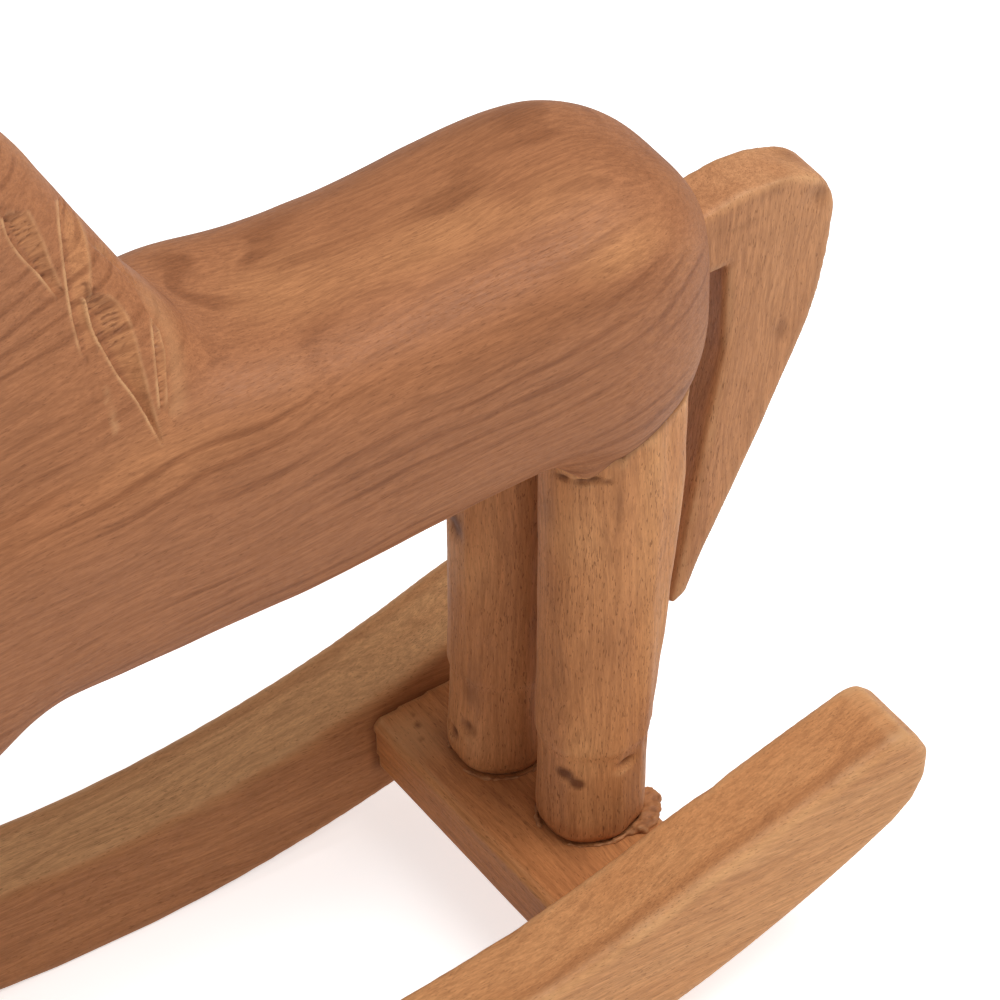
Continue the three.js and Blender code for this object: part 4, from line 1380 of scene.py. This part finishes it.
def lay_bead(node, finish):
    """Squeezed-out glue and torn fibres where a foot meets its board."""
    board, seed = LEGS[node]
    foot = foot_middle(node)
    board_points = node_points(board)
    random = np.random.default_rng(seed)
    vertices, faces = [], []
    count = 0
    for start, end, reach, thickness in GLUE_STRETCHES[node]:
        steps = int(math.radians(abs(end - start)) * reach / (BEAD_SPACING * thickness))
        for turn in np.radians(np.linspace(start, end, max(3, steps))):
            out = reach + random.uniform(-0.35, 0.35) * thickness
            size = thickness * random.uniform(0.6, 1.1)
            x = foot[0] + out * math.cos(turn)
            y = foot[1] + out * math.sin(turn)
            z = board_height(board_points, x) + 0.15 * size
            shell, shell_faces = skin(ball((x, y, z), size), count)
            vertices.append(shell)
            faces += shell_faces
            count += len(shell)
    piece = new_object("glue_" + node, np.vstack(vertices), faces)
    remesh(piece, BEAD_MESH)
    melt(piece, BEAD_MELT, np.ones(len(piece.data.vertices)))
    points = points_of(piece)
    ragged = hashed_noise(points * [0.45, 0.45, 1.1], seed)
    ragged = ragged + 0.6 * hashed_noise(points * 1.3, seed + 1)
    points = points + normals_of(piece) * (BEAD_RAGGED * ragged)[:, None]
    set_points(piece, points)
    patches = hashed_noise(points * 0.35, seed + 2)
    # Darker glue in patches, with painted shade in the crevices of its ragged surface
    shade = 0.25 + 0.3 * patches + 0.5 * smooth_rise(-ragged, 0.15, 0.8)
    set_wear(piece, 0.5 * patches, shade, 0 * patches)
    finish_piece(piece, "board_wood", finish)


def node_points(node):
    """The corners of a frame node, in millimetres."""
    return np.array([v.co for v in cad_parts[node].data.vertices]) / MM


def foot_middle(node):
    """The middle of a leg's foot, in millimetres."""
    points = node_points(node)
    foot = points[points[:, 2] < points[:, 2].min() + 6]
    return (foot.min(axis=0) + foot.max(axis=0)) / 2


def board_height(points, x):
    """Height of a board's top at a place along the horse, from its own corners."""
    centre = (points[:, 0].min() + points[:, 0].max()) / 2
    front = points[points[:, 0] < centre]
    rear = points[points[:, 0] > centre]
    first = front[np.argmax(front[:, 2])]
    second = rear[np.argmax(rear[:, 2])]
    share = (x - first[0]) / (second[0] - first[0])
    return first[2] + share * (second[2] - first[2])


# Operators


class HORSE_OT_block(bpy.types.Operator):
    """Carve the trunk, neck and head from one block"""

    bl_idname = "horse.block"
    bl_label = "Carve the block"

    def execute(self, context):
        finish = wood_material("block", colours_of(context.scene.horse_wood, "block"))
        carve_block(context.scene.horse_carving, finish)
        return {"FINISHED"}


class HORSE_OT_tail(bpy.types.Operator):
    """Shape the flat tail board"""

    bl_idname = "horse.tail"
    bl_label = "Shape the tail"

    def execute(self, context):
        finish = wood_material("tail", colours_of(context.scene.horse_wood, "tail"))
        shape_tail(context.scene.horse_carving, finish)
        return {"FINISHED"}


class HORSE_OT_legs(bpy.types.Operator):
    """Whittle the four peg legs"""

    bl_idname = "horse.legs"
    bl_label = "Whittle the legs"

    def execute(self, context):
        finish = wood_material("leg", colours_of(context.scene.horse_wood, "leg"))
        for node in LEGS:
            whittle_leg(node, context.scene.horse_carving, finish)
        return {"FINISHED"}


class HORSE_OT_boards(bpy.types.Operator):
    """Cut the two cross boards"""

    bl_idname = "horse.boards"
    bl_label = "Cut the cross boards"

    def execute(self, context):
        finish = wood_material("board", colours_of(context.scene.horse_wood, "board"))
        for node in BOARDS:
            cut_board(node, context.scene.horse_carving, finish)
        return {"FINISHED"}


class HORSE_OT_rockers(bpy.types.Operator):
    """Bend the two rockers"""

    bl_idname = "horse.rockers"
    bl_label = "Bend the rockers"

    def execute(self, context):
        finish = wood_material("rocker", colours_of(context.scene.horse_wood, "rocker"))
        for side in SIDES:
            bend_rocker(side, context.scene.horse_carving, finish)
        return {"FINISHED"}


class HORSE_OT_glue(bpy.types.Operator):
    """Lay the beads of glue round the feet"""

    bl_idname = "horse.glue"
    bl_label = "Lay the glue"

    def execute(self, context):
        wood = context.scene.horse_wood
        finish = wood_material("glue", (wood.leg_pale, wood.glue, wood.glue))
        for node in LEGS:
            lay_bead(node, finish)
        return {"FINISHED"}


class HORSE_OT_stage(bpy.types.Operator):
    """Set the floor, the soft lights and the camera"""

    bl_idname = "horse.stage"
    bl_label = "Set the stage"

    def execute(self, context):
        settings = context.scene.horse_stage
        lay_floor(settings)
        hang_lights(settings)
        place_camera(context, settings)
        return {"FINISHED"}


# Places and sizes of the stage, in metres
FLOOR_REACH = 6.0
LIT_PLACE = (0.03, 0, 0.15)
KEY_PLACE, KEY_SIZE = (0.35, -0.35, 1.25), 0.9
SIDE_PLACE, SIDE_SIZE = (0.75, -1.1, 0.5), 0.8
VIEW_END = 50.0
SENSOR_MM = 36.0


def lay_floor(settings):
    reach = FLOOR_REACH / MM
    corners = [(-reach, -reach, 0), (reach, -reach, 0), (reach, reach, 0), (-reach, reach, 0)]
    floor = new_object("studio_floor", np.array(corners), [(0, 1, 2, 3)])
    material = bpy.data.materials.new("studio_floor_white")
    material.use_nodes = True
    shader = material.node_tree.nodes["Principled BSDF"]
    shader.inputs["Base Color"].default_value = plus_alpha(settings.floor_colour)
    shader.inputs["Roughness"].default_value = 0.9
    shader.inputs["Specular IOR Level"].default_value = 0.0
    shader.inputs["Emission Color"].default_value = (1, 1, 1, 1)
    desk = NodeDesk(material.node_tree)
    seen = desk.add("ShaderNodeLightPath").outputs["Is Camera Ray"]
    glow = desk.math("MULTIPLY_ADD", seen, settings.floor_lift, settings.floor_glow)
    desk.feed(shader.inputs["Emission Strength"], glow)
    floor.data.materials.append(material)


def soft_light(name, place, size, power):
    light = bpy.data.lights.new(name, "AREA")
    light.shape = "DISK"
    light.size = size
    light.energy = power
    lamp = bpy.data.objects.new(name, light)
    bpy.context.scene.collection.objects.link(lamp)
    lamp.location = place
    lamp.rotation_euler = (Vector(LIT_PLACE) - Vector(place)).to_track_quat("-Z", "Y").to_euler()


def hang_lights(settings):
    world = bpy.data.worlds.new("even_light")
    bpy.context.scene.world = world
    world.use_nodes = True
    background = world.node_tree.nodes["Background"]
    background.inputs["Color"].default_value = (1, 1, 1, 1)
    background.inputs["Strength"].default_value = settings.sky_strength
    soft_light("key_light", KEY_PLACE, KEY_SIZE, settings.key_power)
    soft_light("side_light", SIDE_PLACE, SIDE_SIZE, settings.side_power)


def place_camera(context, settings):
    turn, lift = settings.azimuth, settings.elevation
    back = Vector((math.sin(turn) * math.cos(lift), -math.cos(turn) * math.cos(lift), math.sin(lift)))
    lens = bpy.data.cameras.new("photo_camera")
    lens.lens = settings.lens
    lens.sensor_width = SENSOR_MM
    lens.clip_end = VIEW_END
    camera = bpy.data.objects.new("photo_camera", lens)
    context.scene.collection.objects.link(camera)
    camera.location = Vector(settings.target) + back * settings.distance
    camera.rotation_euler = back.to_track_quat("Z", "Y").to_euler()
    context.scene.camera = camera
    context.scene.view_settings.view_transform = "Standard"


STEPS = (
    HORSE_OT_block,
    HORSE_OT_tail,
    HORSE_OT_legs,
    HORSE_OT_boards,
    HORSE_OT_rockers,
    HORSE_OT_glue,
    HORSE_OT_stage,
)


class HORSE_PT_steps(bpy.types.Panel):
    """The steps of making the horse"""

    bl_idname = "HORSE_PT_steps"
    bl_label = "Rocking horse"
    bl_space_type = "VIEW_3D"
    bl_region_type = "UI"
    bl_category = "Horse"

    def draw(self, context):
        for step in STEPS:
            self.layout.operator(step.bl_idname)
        scene = context.scene
        for settings in (scene.horse_carving, scene.horse_wood, scene.horse_stage):
            for name in settings.__annotations__:
                self.layout.prop(settings, name)


CLASSES = (HorseCarving, HorseWood, HorseStage, *STEPS, HORSE_PT_steps)


def register():
    for entry in CLASSES:
        bpy.utils.register_class(entry)
    bpy.types.Scene.horse_carving = PointerProperty(type=HorseCarving)
    bpy.types.Scene.horse_wood = PointerProperty(type=HorseWood)
    bpy.types.Scene.horse_stage = PointerProperty(type=HorseStage)


def unregister():
    del bpy.types.Scene.horse_stage
    del bpy.types.Scene.horse_wood
    del bpy.types.Scene.horse_carving
    for entry in reversed(CLASSES):
        bpy.utils.unregister_class(entry)


def main():
    register()
    bpy.ops.horse.block()
    bpy.ops.horse.tail()
    bpy.ops.horse.legs()
    bpy.ops.horse.boards()
    bpy.ops.horse.rockers()
    bpy.ops.horse.glue()
    bpy.ops.horse.stage()


if __name__ == "__main__":
    main()
